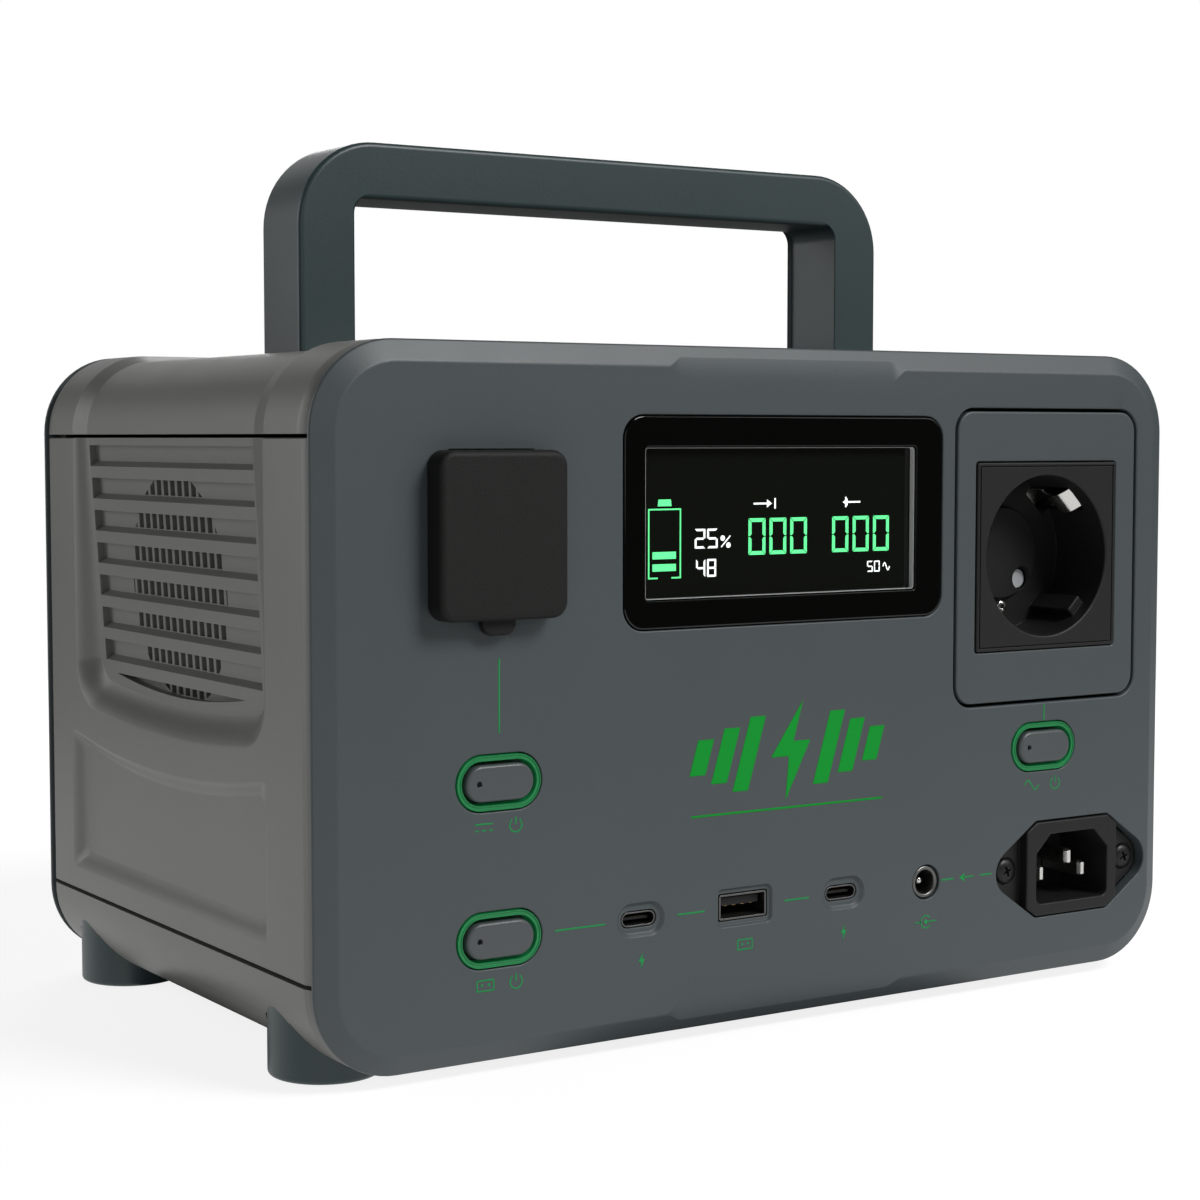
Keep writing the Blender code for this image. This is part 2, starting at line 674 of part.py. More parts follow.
def make_handle():
    """The fixed carry handle and the two screws that hold its legs from inside."""
    foot = CASE_HEIGHT - BAND_RECESS + GAP
    inner = HANDLE_HALF - HANDLE_LEG
    under = HANDLE_TOP - HANDLE_BAR
    outline = filleted([
        (-HANDLE_HALF, foot), (-inner, foot), (-inner, under, HANDLE_INNER_CORNER),
        (inner, under, HANDLE_INNER_CORNER), (inner, foot), (HANDLE_HALF, foot),
        (HANDLE_HALF, HANDLE_TOP, HANDLE_CORNER), (-HANDLE_HALF, HANDLE_TOP, HANDLE_CORNER)])
    handle = piece("carry_handle", prism("depth", HANDLE_FRONT, HANDLE_REAR, outline), "handle")
    bevel(handle, 1.0)
    holes = bmesh.new()
    for x, side in zip(handle_leg_centres(), ("left", "right")):
        centre = (x, handle_depth())
        hole = circle(centre, HANDLE_SCREW_RADIUS + GAP, SMALL_SIDES)
        prism("height", foot - 5, HANDLE_SCREW_TOP + 2, hole, holes)
        head = CASE_HEIGHT - CASE_WALL - GAP
        profile = [(head - 4, 4.5), (head, 4.5), (head, HANDLE_SCREW_RADIUS),
                   (HANDLE_SCREW_TOP, HANDLE_SCREW_RADIUS)]
        piece(f"handle_screw_{side}", turned("height", centre, profile, SMALL_SIDES), "metal")
    cut(handle, "handle_screw_holes", holes)


def make_feet():
    """Four round feet, pressed up into the bottom shell's bosses."""
    for x, side in ((-FOOT_X, "left"), (FOOT_X, "right")):
        for end, depth in FOOT_DEPTHS.items():
            profile = [(-FOOT_REACH, FOOT_RADIUS - 1.0), (0.8 - FOOT_REACH, FOOT_RADIUS - 0.2),
                       (FOOT_TOP, FOOT_RADIUS)]
            piece(f"foot_{end}_{side}", turned("height", (x, depth), profile), "handle")


# The front panel

def make_display():
    """The dark window and the display module behind it."""
    outline = rectangle(DISPLAY, DISPLAY_CORNER)
    piece("display_window", prism("depth", -0.1, DISPLAY_THICKNESS - 0.1, outline), "glass")
    screen = rectangle(DISPLAY_HOLE, 3, -0.35)
    frame = rectangle(DISPLAY_HOLE, 3, 4.3)
    glass, shoulder, back = LCD_DEPTHS
    sections = [(glass, screen), (shoulder, screen), (shoulder, frame), (back, frame)]
    piece("lcd_module", loft("depth", sections), "black")


def make_socket():
    """The AC socket: its panel, the round-well insert, the earth strap and two contacts."""
    opening = rectangle(SURROUND, SURROUND_CORNER)
    flange = rectangle(SURROUND, SURROUND_CORNER, SURROUND_FLANGE)
    rim = rectangle(SURROUND, SURROUND_CORNER, -0.3)
    back = SURROUND_THICKNESS
    surround = piece("socket_surround", loft("depth", [
        (0, rim), (0.3, opening), (back, opening), (back, flange), (back + 2, flange)]), "cover")
    centre = (SOCKET_X, SOCKET_HEIGHT)
    square = centred(centre, 2 * SOCKET_HALF, 2 * SOCKET_HALF)
    cut(surround, "surround_hole", prism("depth", IN_FRONT, BEHIND, rectangle(square, 0.6, GAP, 2)))

    face = rectangle(square, 0.6, 0, 2)
    insert = piece("socket_insert", loft("depth", [
        (-0.3, rectangle(square, 0.6, -0.3, 2)), (0, face), (4, face)]), "black")
    join(insert, "socket_tube", prism("depth", 3, WELL_BODY_DEPTH, circle(centre, WELL_BODY_RADIUS)))
    cut(insert, "socket_well", prism("depth", IN_FRONT, WELL_DEPTH, circle(centre, WELL_RADIUS)))
    contact_holes = bmesh.new()
    earth_slots = bmesh.new()
    for side in (-1, 1):
        hole = circle((SOCKET_X + side * CONTACT_PITCH / 2, SOCKET_HEIGHT), CONTACT_HOLE, SMALL_SIDES)
        prism("depth", WELL_DEPTH - 1, BEHIND + 10, hole, contact_holes)
        box(sorted(SOCKET_X + side * reach for reach in EARTH_SLOT), (4.4, BEHIND + 10),
            (SOCKET_HEIGHT - 4, SOCKET_HEIGHT + 4), earth_slots)
    cut(insert, "socket_contact_holes", spun(contact_holes, centre, EARTH_ANGLE - pi / 2))
    cut(insert, "socket_earth_slots", spun(earth_slots, centre, EARTH_ANGLE))

    strip = ribbon([(-reach, depth) for reach, depth in EARTH_PATH] + EARTH_PATH[::-1], 0.8)
    strap = prism("height", SOCKET_HEIGHT - 3.2, SOCKET_HEIGHT + 3.2, [(SOCKET_X + u, v) for u, v in strip])
    piece("socket_earth_strap", spun(strap, centre, EARTH_ANGLE), "metal")
    for side, label in ((-1, "left"), (1, "right")):
        spot = (SOCKET_X + side * CONTACT_PITCH / 2, SOCKET_HEIGHT)
        profile = [(WELL_DEPTH + 0.6, CONTACT_RADIUS), (21.4, CONTACT_RADIUS)]
        contact = turned("depth", spot, profile, SMALL_SIDES)
        piece(f"socket_contact_{label}", spun(contact, centre, EARTH_ANGLE - pi / 2), "metal")


def inlet_body_outline(grow=0.0):
    """The inlet's rear body: a little larger than its cavity."""
    return rectangle((INLET_X - 13.2, INLET_X + 13.2, INLET_HEIGHT - 9.35, INLET_HEIGHT + 9.7), 2.0, grow, 3)


def make_inlet():
    """The mains inlet: flanged body with its cavity, three blades and two screws."""
    body = piece("inlet_body", prism("depth", INLET_EAR_DEPTH, INLET_EAR_BACK, inlet_outline()), "black")
    join(body, "inlet_block", prism("depth", -0.3, INLET_EAR_BACK - 0.5, inlet_outline(-0.05, INLET_BLOCK)))
    join(body, "inlet_rear", prism("depth", INLET_EAR_BACK - 1, INLET_BACK, inlet_body_outline()))
    left, right = INLET_X - 12, INLET_X + 12
    low, high = INLET_HEIGHT - 8.7, INLET_HEIGHT + 8.5
    cavity = filleted([(left, low, 1.8), (right, low, 1.8), (right, high - 4.7), (right - 4.7, high),
                       (left + 4.7, high), (left, high - 4.7)], 3)
    cut(body, "inlet_cavity", prism("depth", IN_FRONT, INLET_CAVITY_DEPTH, cavity))
    holes = bmesh.new()
    for label, (x, height, tip) in INLET_BLADES.items():
        section = centred((INLET_X + x, INLET_HEIGHT + height), *INLET_BLADE)
        blade = rectangle(section, 0.6, steps=2)
        nose = rectangle(section, 0.6, -0.5, 2)
        sections = [(tip, nose), (tip + 1, blade), (INLET_BACK + 6, blade)]
        piece(f"inlet_pin_{label}", loft("depth", sections), "metal")
        prism("depth", INLET_CAVITY_DEPTH - 1, INLET_BACK + 2, rectangle(section, 0.6, GAP, 2), holes)
    for x, label in ((-INLET_SCREW, "left"), (INLET_SCREW, "right")):
        centre = (INLET_X + x, INLET_HEIGHT)
        prism("depth", IN_FRONT, INLET_EAR_BACK + 2, circle(centre, INLET_SCREW_HOLE, SMALL_SIDES), holes)
        screw = piece(f"inlet_screw_{label}", turned("depth", centre, [
            (1.2, 2.4), (1.7, 3.0), (INLET_EAR_DEPTH - GAP, 3.0), (INLET_EAR_DEPTH - GAP, 1.5), (9.5, 1.5)],
            SMALL_SIDES), "black")
        cross = box((centre[0] - 1.8, centre[0] + 1.8), (0, 1.9), (centre[1] - 0.4, centre[1] + 0.4))
        cut(screw, f"inlet_slot_{label}", cross)
        upright = box((centre[0] - 0.4, centre[0] + 0.4), (0, 1.9), (centre[1] - 1.8, centre[1] + 1.8))
        cut(screw, f"inlet_cross_{label}", upright)
    cut(body, "inlet_holes", holes)


def flap_anchor_bounds():
    """The slot that the flap's root goes through."""
    return (CAR_SOCKET_X - 9, CAR_SOCKET_X + 9, 127.2, 129.4)


def make_car_socket():
    """The 12 V outlet behind the rubber flap, and the flap on its hinge line along its top edge."""
    centre = (CAR_SOCKET_X, CAR_SOCKET_HEIGHT)
    barrel = piece("car_socket_barrel", turned("depth", centre, [
        (-1.6, CAR_SOCKET_BEZEL - 0.6), (-1.0, CAR_SOCKET_BEZEL), (-GAP, CAR_SOCKET_BEZEL),
        (-GAP, CAR_SOCKET_RADIUS), (CAR_SOCKET_DEPTH, CAR_SOCKET_RADIUS), (CAR_SOCKET_DEPTH, 3.3),
        (CAR_SOCKET_DEPTH - 2, 3.3), (CAR_SOCKET_DEPTH - 2, CAR_SOCKET_BORE), (-1.0, CAR_SOCKET_BORE),
        (-1.6, CAR_SOCKET_BORE + 0.6)]), "black")
    close_turned(barrel)
    piece("car_socket_contact", turned("depth", centre, [
        (35, 2), (36, 3), (CAR_SOCKET_DEPTH + 5, 3)], SMALL_SIDES), "metal")

    hinge = ((FLAP[0] + FLAP[1]) / 2, FLAP_AXIS_DEPTH, FLAP[3])
    outline = rectangle(FLAP, FLAP_CORNER)
    crown = [(-FLAP_PROUD, rectangle(FLAP, FLAP_CORNER, -2.0)),
             (0.5 - FLAP_PROUD, rectangle(FLAP, FLAP_CORNER, -0.9)),
             (2.0 - FLAP_PROUD, outline), (-GAP, outline)]
    flap = piece("socket_flap", loft("depth", crown), "rubber", hinge)
    middle = (FLAP[0] + FLAP[1]) / 2
    join(flap, "flap_tab", prism("depth", -3.4, -0.9, rectangle((middle - 4.1, middle + 4.1, 91.7, 98), 2.5)))
    hollow = (FLAP[0] + FLAP_SIDE_WALL, FLAP[1] - FLAP_SIDE_WALL, FLAP[2] + 1.2, 125.5)
    cut(flap, "flap_hollow", prism("depth", FLAP_FRONT_WALL - FLAP_PROUD, 2, rectangle(hollow, 2.5)))
    slot = flap_anchor_bounds()
    sections = [(0.1, rectangle(slot)), (COVER_WALL + GAP, rectangle(slot)),
                (COVER_WALL + GAP, rectangle(slot, 0, 1.2)), (6.5, rectangle(slot, 0, 0.4))]
    piece("flap_anchor", loft("depth", sections), "rubber")


def close_turned(thing):
    """Joins a turned profile's first and last rings, so that the solid is a tube and not a plug."""
    mesh = bmesh.new()
    mesh.from_mesh(thing.data)
    caps = [face for face in mesh.faces if len(face.verts) == ROUND_SIDES]
    rims = [edge for face in caps for edge in face.edges]
    bmesh.ops.delete(mesh, geom=caps, context="FACES_ONLY")
    bmesh.ops.bridge_loops(mesh, edges=rims)
    face_outwards(mesh)
    mesh.to_mesh(thing.data)
    mesh.free()


def make_buttons():
    """Three pill-shaped buttons, each in a light ring, with a switch behind."""
    for label, centre in BUTTONS.items():
        outer = pill(centre, RING_LENGTH, RING_HEIGHT)
        inner = pill(centre, RING_LENGTH, RING_HEIGHT, -RING_WALL)
        ring = loft("depth", [(-0.1, outer), (3.6, outer), (3.6, inner), (-0.1, inner)], True)
        piece(f"{label}_light_ring", ring, "light")
        face = pill(centre, BUTTON_LENGTH, BUTTON_HEIGHT)
        edge = pill(centre, BUTTON_LENGTH, BUTTON_HEIGHT, -0.4)
        flange = pill(centre, BUTTON_LENGTH, BUTTON_HEIGHT, 1.2)
        button = piece(f"{label}_button", loft("depth", [
            (-BUTTON_PROUD, edge), (0.4 - BUTTON_PROUD, face), (4.2, face), (4.2, flange), (5.2, flange)]),
            "button", (centre[0], 0, centre[1]))
        join(button, f"{label}_stem", prism("depth", 4.6, 7.4, circle(centre, 1.5, 12)))
        pinhole = circle((centre[0] - 5.2, centre[1]), 0.6, 10)
        cut(button, f"{label}_pinhole", prism("depth", -2, 0.3, pinhole))
        switch = piece(f"{label}_switch", box((centre[0] - 3, centre[0] + 3), (9.2, BOARD_DEPTH - GAP),
                                              (centre[1] - 3, centre[1] + 3)), "black")
        join(switch, f"{label}_plunger", prism("depth", 8.9, 10, circle(centre, 1.7, 12)))


def make_ports():
    """The USB and DC ports, all standing on the control board."""
    back = BOARD_DEPTH - GAP
    for label, x in USB_C_PORTS.items():
        centre = (x, PORT_HEIGHT)
        shell = pill(centre, *USB_C_SHELL)
        bore = pill(centre, *USB_C_SHELL, -0.3)
        sections = [(back - 0.4, bore), (1.2, bore), (1.2, shell), (back, shell)]
        piece(f"usb_c_shell_{label}", loft("depth", sections), "metal")
        tongue = rectangle(centred(centre, 6.6, 0.6))
        root = rectangle(centred(centre, 6.8, 1.8))
        sections = [(2.4, tongue), (10.6, tongue), (10.6, root), (back - 0.7, root)]
        piece(f"usb_c_tongue_{label}", loft("depth", sections), "black")
    centre = (USB_A_X, PORT_HEIGHT)
    shell = rectangle(centred(centre, *USB_A_SHELL), 0.5, steps=2)
    bore = rectangle(centred(centre, *USB_A_SHELL), 0.5, -0.4, steps=2)
    sections = [(back - 0.4, bore), (0.9, bore), (0.9, shell), (back, shell)]
    piece("usb_a_shell", loft("depth", sections), "metal")
    tongue = rectangle((centre[0] - 5.5, centre[0] + 5.5, centre[1] + 0.1, centre[1] + 1.9))
    root = rectangle(centred(centre, 11.8, 4.4))
    sections = [(2.5, tongue), (10.6, tongue), (10.6, root), (back - 0.7, root)]
    piece("usb_a_tongue", loft("depth", sections), "black")
    centre = (DC_JACK_X, PORT_HEIGHT)
    piece("dc_jack", turned("depth", centre, [
        (10.5, DC_JACK_BORE), (0.9, DC_JACK_BORE), (0.4, DC_JACK_BORE + 0.4), (0.4, DC_JACK_RADIUS),
        (back, DC_JACK_RADIUS)], 24), "metal")
    piece("dc_jack_pin", turned("depth", centre, [(2.4, 0.6), (2.9, 1.0), (10.2, 1.0)], 12), "metal")
    board = [(-92, 10), (60, 10), (60, 46), (92, 46), (92, 66), (-92, 66)]
    piece("control_board", prism("depth", BOARD_DEPTH, BOARD_DEPTH + BOARD_THICKNESS, board), "board")


# Inside the case

def make_battery():
    """Four cells in two holders, with their management board in front."""
    places = [(BATTERY_DEPTH + u * CELL_PITCH / 2, BATTERY_HEIGHT + v * CELL_PITCH / 2)
              for v in (-1, 1) for u in (-1, 1)]
    for number, centre in enumerate(places, 1):
        piece(f"battery_cell_{number}", turned("x", centre, [
            (-CELL_HALF, CELL_RADIUS - 1), (1 - CELL_HALF, CELL_RADIUS), (CELL_HALF - 3, CELL_RADIUS),
            (CELL_HALF - 2, CELL_RADIUS - 1), (CELL_HALF - 2, 6), (CELL_HALF, 6)], 20), "cell")
    bores = bmesh.new()
    for centre in places:
        prism("x", -HOLDER_X - 20, HOLDER_X + 20, circle(centre, CELL_RADIUS + GAP, 20), bores)
    frame = (BATTERY_DEPTH - HOLDER_HALF, BATTERY_DEPTH + HOLDER_HALF,
             BATTERY_HEIGHT - HOLDER_HALF, BATTERY_HEIGHT + HOLDER_HALF)
    bore_tool = tool("cell_bores", bores)
    for side, label in ((-1, "left"), (1, "right")):
        plate = prism("x", side * HOLDER_X, side * (HOLDER_X + HOLDER_THICKNESS),
                      rectangle(frame, 4, steps=3))
        holder = piece(f"cell_holder_{label}", plate, "black")
        combine(holder, bore_tool, "DIFFERENCE")
    piece("bms_board", box((-55, 55), (71, 72.6), (10, 70)), "board")


def make_power_stage():
    """The inverter board with its capacitors, the finned heat sink and the transformer."""
    top = INVERTER_HEIGHT + BOARD_THICKNESS
    board = piece("inverter_board", box((-88, 92), (50, 146), (INVERTER_HEIGHT, top)), "board")
    capacitors = bmesh.new()
    for x in (50, 67, 84):
        prism("height", top - 0.8, top + 28, circle((x, 130), 7.5, SMALL_SIDES), capacitors)
    join(board, "capacitors", capacitors)

    fins = 8
    pitch = 5.2
    front = 62
    base = top + GAP
    comb = [(front, base), (front + fins * pitch - pitch + 1.6, base)]
    for fin in reversed(range(fins)):
        edge = front + fin * pitch
        comb += [(edge + 1.6, base + 34), (edge, base + 34)]
        if fin:
            comb += [(edge, base + 4), (edge - pitch + 1.6, base + 4)]
    piece("heat_sink", prism("x", -84, 34, comb), "metal")

    core = piece("transformer", box((46, 84), (70, 106), (top + GAP, top + 30)), "black")
    join(core, "transformer_winding", prism("height", top + 5, top + 25, rectangle((50, 80, 64, 112), 8)))


def make_fan():
    """The fan behind the vent slots: a fixed frame and a rotor that turns about X."""
    centre = (FAN_DEPTH, FAN_HEIGHT)
    inner_x = FAN_OUTER_X + FAN_THICKNESS
    plate = (FAN_DEPTH - FAN_HALF, FAN_DEPTH + FAN_HALF, FAN_HEIGHT - FAN_HALF, FAN_HEIGHT + FAN_HALF)
    frame = piece("fan_frame", prism("x", FAN_OUTER_X, inner_x, rectangle(plate, 3, steps=3)), "black")
    bores = prism("x", FAN_OUTER_X - 5, inner_x + 5, circle(centre, FAN_BORE))
    for u in (-25, 25):
        for v in (-25, 25):
            prism("x", FAN_OUTER_X - 5, inner_x + 5, circle((FAN_DEPTH + u, FAN_HEIGHT + v), 2.1, 12), bores)
    cut(frame, "fan_bores", bores)
    spider = prism("x", inner_x - 2.2, inner_x, circle(centre, 12, 24))
    join(frame, "fan_base", spider)
    for number, angle in enumerate((45, 135)):
        arm = bmesh.new()
        reach = Vector((cos(radians(angle)), sin(radians(angle)))) * (FAN_BORE + 1)
        across = Vector((-reach.y, reach.x)).normalized() * 1.6
        middle = Vector(centre)
        prism("x", inner_x - 2.0, inner_x - 0.2, [middle - reach - across, middle + reach - across,
                                                  middle + reach + across, middle - reach + across], arm)
        join(frame, f"fan_arm_{number}", arm)
    cut(frame, "fan_bearing", prism("x", inner_x - 4, inner_x - 0.6, circle(centre, 1.9, SMALL_SIDES)))

    rotor = piece("fan_rotor", turned("x", centre, [
        (FAN_OUTER_X + 0.8, FAN_HUB - 1), (FAN_OUTER_X + 1.8, FAN_HUB), (inner_x - 3.0, FAN_HUB),
        (inner_x - 3.0, 1.5), (inner_x - 1.2, 1.5)], 20), "black", (FAN_OUTER_X + FAN_THICKNESS / 2, *centre))
    blades = bmesh.new()
    middle = Vector((FAN_OUTER_X + FAN_THICKNESS / 2 - 0.8, *centre))
    for blade in range(FAN_BLADES):
        angle = 2 * pi * blade / FAN_BLADES
        radial = Vector((0, cos(angle), sin(angle)))
        chord = Vector((cos(FAN_PITCH), *(sin(FAN_PITCH) * Vector((-sin(angle), cos(angle))))))
        across = radial.cross(chord).normalized() * 0.5
        rings = []
        for reach, half in ((FAN_HUB - 2.5, 4.5), (FAN_BORE - 1.2, 6.8)):
            spot = middle + radial * reach
            rings.append([spot - chord * half - across, spot + chord * half - across,
                          spot + chord * half + across, spot - chord * half + across])
        add_loft(blades, rings)
    join(rotor, "fan_blades", blades)


def build():
    """Builds the whole power station."""
    make_front_cover()
    make_cover("rear_cover", lambda depth: CASE_DEPTH - depth)
    make_top_cover()
    make_bottom_shell()
    make_side_panel("left_side_panel", -1)
    make_side_panel("right_side_panel", 1)
    make_handle()
    make_feet()
    make_display()
    make_socket()
    make_inlet()
    make_car_socket()
    make_buttons()
    make_ports()
    make_battery()
    make_power_stage()
    make_fan()


for leftover in list(bpy.data.objects):
    bpy.data.objects.remove(leftover)
build()
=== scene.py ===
"""The looks of a portable power station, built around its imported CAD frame.

Sizes are in millimetres and are placed by x (from the middle), depth (behind the flat front face) and height
(above the case's underside), as in the CAD model. Places come from the frame's nodes wherever it has them.
"""

import json
from math import cos, pi, radians, sin, tan

import bmesh
import bpy
from mathutils import Matrix, Vector

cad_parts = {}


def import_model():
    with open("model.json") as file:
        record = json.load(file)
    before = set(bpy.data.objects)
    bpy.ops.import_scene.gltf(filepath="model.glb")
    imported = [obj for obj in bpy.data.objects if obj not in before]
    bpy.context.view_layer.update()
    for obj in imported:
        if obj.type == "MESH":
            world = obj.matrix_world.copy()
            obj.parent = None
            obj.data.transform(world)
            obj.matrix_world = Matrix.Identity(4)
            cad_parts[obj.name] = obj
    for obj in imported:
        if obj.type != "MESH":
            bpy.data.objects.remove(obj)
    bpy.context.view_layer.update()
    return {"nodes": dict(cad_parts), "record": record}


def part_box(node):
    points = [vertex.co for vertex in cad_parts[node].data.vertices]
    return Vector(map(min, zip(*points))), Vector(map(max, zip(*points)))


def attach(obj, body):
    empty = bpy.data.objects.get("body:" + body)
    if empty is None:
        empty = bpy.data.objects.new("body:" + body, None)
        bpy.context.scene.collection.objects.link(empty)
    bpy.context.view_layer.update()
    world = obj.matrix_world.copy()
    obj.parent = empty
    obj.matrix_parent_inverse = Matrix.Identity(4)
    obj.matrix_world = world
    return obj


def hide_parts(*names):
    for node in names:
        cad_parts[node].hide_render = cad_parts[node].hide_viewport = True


MM = 0.001
GAP = 0.3                      # between pieces that touch on the real object
FOOT_REACH = 3.0
ORIGIN_DEPTH = 75.0
THROUGH = 22.0                 # depth where a hole through the front cover ends

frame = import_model()


# Places, read from the frame

def span(node):
    """A node's (low, high) along x, depth and height."""
    low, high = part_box(node)
    return [(low.x / MM, high.x / MM),
            (low.y / MM + ORIGIN_DEPTH, high.y / MM + ORIGIN_DEPTH),
            (low.z / MM - FOOT_REACH, high.z / MM - FOOT_REACH)]


def front_bounds(node, grow=0.0):
    """A node's bounds as seen from the front: low x, high x, low height, high height."""
    (left, right), _, (low, high) = span(node)
    return left - grow, right + grow, low - grow, high + grow


def front_middle(node):
    """The middle of a node as seen from the front."""
    left, right, low, high = front_bounds(node)
    return (left + right) / 2, (low + high) / 2


CASE_CORNER = 19.2
CASE_WALL = 3.0
HALF_WIDTH = span("front_cover")[0][1]
CASE_HEIGHT = span("front_cover")[2][1]
CASE_DEPTH = span("rear_cover")[1][1]
CHAMFER_WIDTH = 4.65
CHAMFER_DEPTH = 2.3
COVER_EDGE = 3.2
COVER_WALL = 3.0
LIP_INSET = 3.6
LIP_WALL = 1.8
LIP_DEPTH = 8.0
NOTCH_HALF = 30.0              # facet in the middle of the top and bottom chamfers
NOTCH_END = 34.0
NOTCH_FACE = 7.6
NOTCH_CHAMFER = 2.6

SHELL_FRONT, SHELL_REAR = span("top_cover")[1]
SHELL_EDGE = 2.4
SHELL_EDGE_INSET = 1.0
TOP_SEAM = span("top_cover")[2][0]
PANEL_LOW, PANEL_TOP = span("left_side_panel")[2]
BOTTOM_SEAM = span("bottom_shell")[2][1]
FEET = [f"foot_{end}_{side}" for end in ("front", "rear") for side in ("left", "right")]

BAND_FRONT, BAND_REAR = 23.7, 133.5
BAND_FLOOR_FRONT, BAND_FLOOR_REAR = 31.3, 128.0
BAND_RECESS = 1.5
VENT_TOP = 133.5
VENT_SLOPE = 0.055
VENT_TAPER = 0.042
VENT_BOTTOM = 64.3
VENT_SAG = 3.4
VENT_CORNER = 12.0
VENT_FLOOR_BOTTOM = 71.6
RIB_TOP = 131.3
RIB_PITCH = 7.9
RIB_COUNT = 7
LOUVRE_HEIGHT = 5.1
LOUVRE_DEPTH = 1.8
LOUVRE_SLOPE = 1.3
LOUVRE_MARGIN = 1.3
CRESCENT_TOP, CRESCENT_BOTTOM = 75.9, 73.2
CRESCENT_HALF = 37.0
SLOT_PITCH = 3.95
SLOT_WIDTH = 2.6
SLOT_FIELD_RADIUS = 27.0
FAN = tuple((low + high) / 2 for low, high in span("fan_frame")[1:])
LOWER_RECESS = 2.0
LOWER_FRONT, LOWER_REAR = 23.5, 137.0
LOWER_BOTTOM, LOWER_TOP = 26.0, 56.4
LOWER_SAG = 4.6
LOWER_SLOPE = 5.5

HANDLE_LEG = 13.0
HANDLE_BAR = 13.5
HANDLE_INNER_CORNER, HANDLE_OUTER_CORNER = 3.7, 20.0
HANDLE_EDGE = 1.3

DISPLAY = front_bounds("display_window")
DISPLAY_CORNER = 5.0
DISPLAY_BACK = span("display_window")[1][1]
SCREEN = (-40.0, 37.3, 97.2, 131.2)
SCREEN_CORNER = 1.0
SURROUND = front_bounds("socket_surround", -3.0)
SURROUND_CORNER = 4.8
GROOVE = 0.8
SOCKET = front_middle("socket_insert")
SOCKET_HALF = 22.9
WELL_RADIUS = 19.75
WELL_DEPTH = 17.2
PAD_RADIUS = 11.6
EARTH_ANGLE = radians(45)
CONTACT_REACH = 9.5
INLET = front_middle("inlet_body")
INLET_FLAT = 12.0
INLET_RISE = 11.8
INLET_TIP = 29.0
INLET_TIP_RADIUS = 5.5
INLET_SCREW = 20.0
INLET_BLOCK = 15.3
INLET_HOLE = (27, 19.5)
INLET_EAR_DEPTH = 2.6
INLET_EAR_BACK = 5.6
FLAP = (*front_bounds("socket_flap")[:2], 95.0, front_bounds("socket_flap")[3])
FLAP_FRONT = span("socket_flap")[1][0]
FLAP_CORNER = 3.6
TAB_HEIGHT = 95.1
TAB_SIZE = (8.2, 6.8)
CAR_SOCKET = front_middle("car_socket_contact")
CAR_SOCKET_HOLE = 13.0
BUTTONS = {label: front_middle(f"{label}_light_ring") for label in ("dc", "usb", "ac")}
USB_C = [front_middle(f"usb_c_shell_{side}") for side in ("left", "right")]
USB_A = front_middle("usb_a_shell")
DC_JACK = front_middle("dc_jack")
BUTTON_SIZE = (16.7, 7.9)
FLANGE_SIZE = (17.2, 8.4)
PINHOLE_OFFSET = 5.2
PINHOLE_RADIUS = 0.62
RING_SIZE = (20.7, 11.8)
RING_WALL = 1.2
# Sections of the recesses round the USB ports: depth, length, height (and corner radius)
USB_C_RECESS = [(-1, 12.9, 8.0), (0, 12.9, 8.0), (0.15, 12.5, 7.6), (0.85, 11.2, 6.3), (1.0, 10.8, 5.9)]
USB_C_HOLE = (9.5, 3.8)
USB_A_RECESS = [(-1, 15.9, 9.2, 1.7), (0, 15.9, 9.2, 1.7), (0.15, 15.5, 8.8, 1.5), (0.8, 14.6, 7.9, 1.1)]
USB_A_HOLE = (13.8, 6.4)
REAR_SCREW_INSET = 16.0
REAR_SCREW_SEAT = CASE_DEPTH - 2.2

CORNER_STEPS = 16
FINE_STEPS = 8
ROUND_SIDES = 72
FILM = 0.05                    # thickness of printed and lit shapes
PRINT_DEPTH = -0.03            # the printed marks stand out of the cover by this much


# Outlines: lists of (u, v) points, counter-clockwise

def filleted(corners, steps=FINE_STEPS):
    """The polygon through corners, each (u, v) or (u, v, radius), with its radii cut as arcs."""
    outline = []
    for index, corner in enumerate(corners):
        here = Vector(corner[:2])
        radius = corner[2] if len(corner) > 2 else 0
        if radius <= 0:
            outline.append(here)
            continue
        back = (Vector(corners[index - 1][:2]) - here).normalized()
        ahead = (Vector(corners[(index + 1) % len(corners)][:2]) - here).normalized()
        half = back.angle(ahead) / 2
        centre = here + (back + ahead).normalized() * radius / sin(half)
        start = here + back * radius / tan(half) - centre
        turn = (ahead * radius / tan(half) + here - centre).angle_signed(start)
        for step in range(steps + 1):
            outline.append(centre + Matrix.Rotation(turn * step / steps, 2) @ start)
    return outline


def rectangle(bounds, corner=0.0, grow=0.0, steps=FINE_STEPS):
    """A rectangle, grown on every side, with round corners."""
    low_u, high_u, low_v, high_v = bounds
    radius = max(corner + grow, 0.02) if corner else 0
    return filleted([(low_u - grow, low_v - grow, radius), (high_u + grow, low_v - grow, radius),
                     (high_u + grow, high_v + grow, radius), (low_u - grow, high_v + grow, radius)], steps)


def centred(centre, length, height):
    """The bounds of a rectangle around a centre."""
    return centre[0] - length / 2, centre[0] + length / 2, centre[1] - height / 2, centre[1] + height / 2


def pill(centre, length, height, grow=0.0):
    """A slot shape with half-round ends."""
    return rectangle(centred(centre, length, height), height / 2 - 0.01, grow, 12)


def circle(centre, radius, sides=ROUND_SIDES):
    """A regular outline close to a circle."""
    angles = [2 * pi * i / sides for i in range(sides)]
    return [Vector((centre[0] + radius * cos(a), centre[1] + radius * sin(a))) for a in angles]


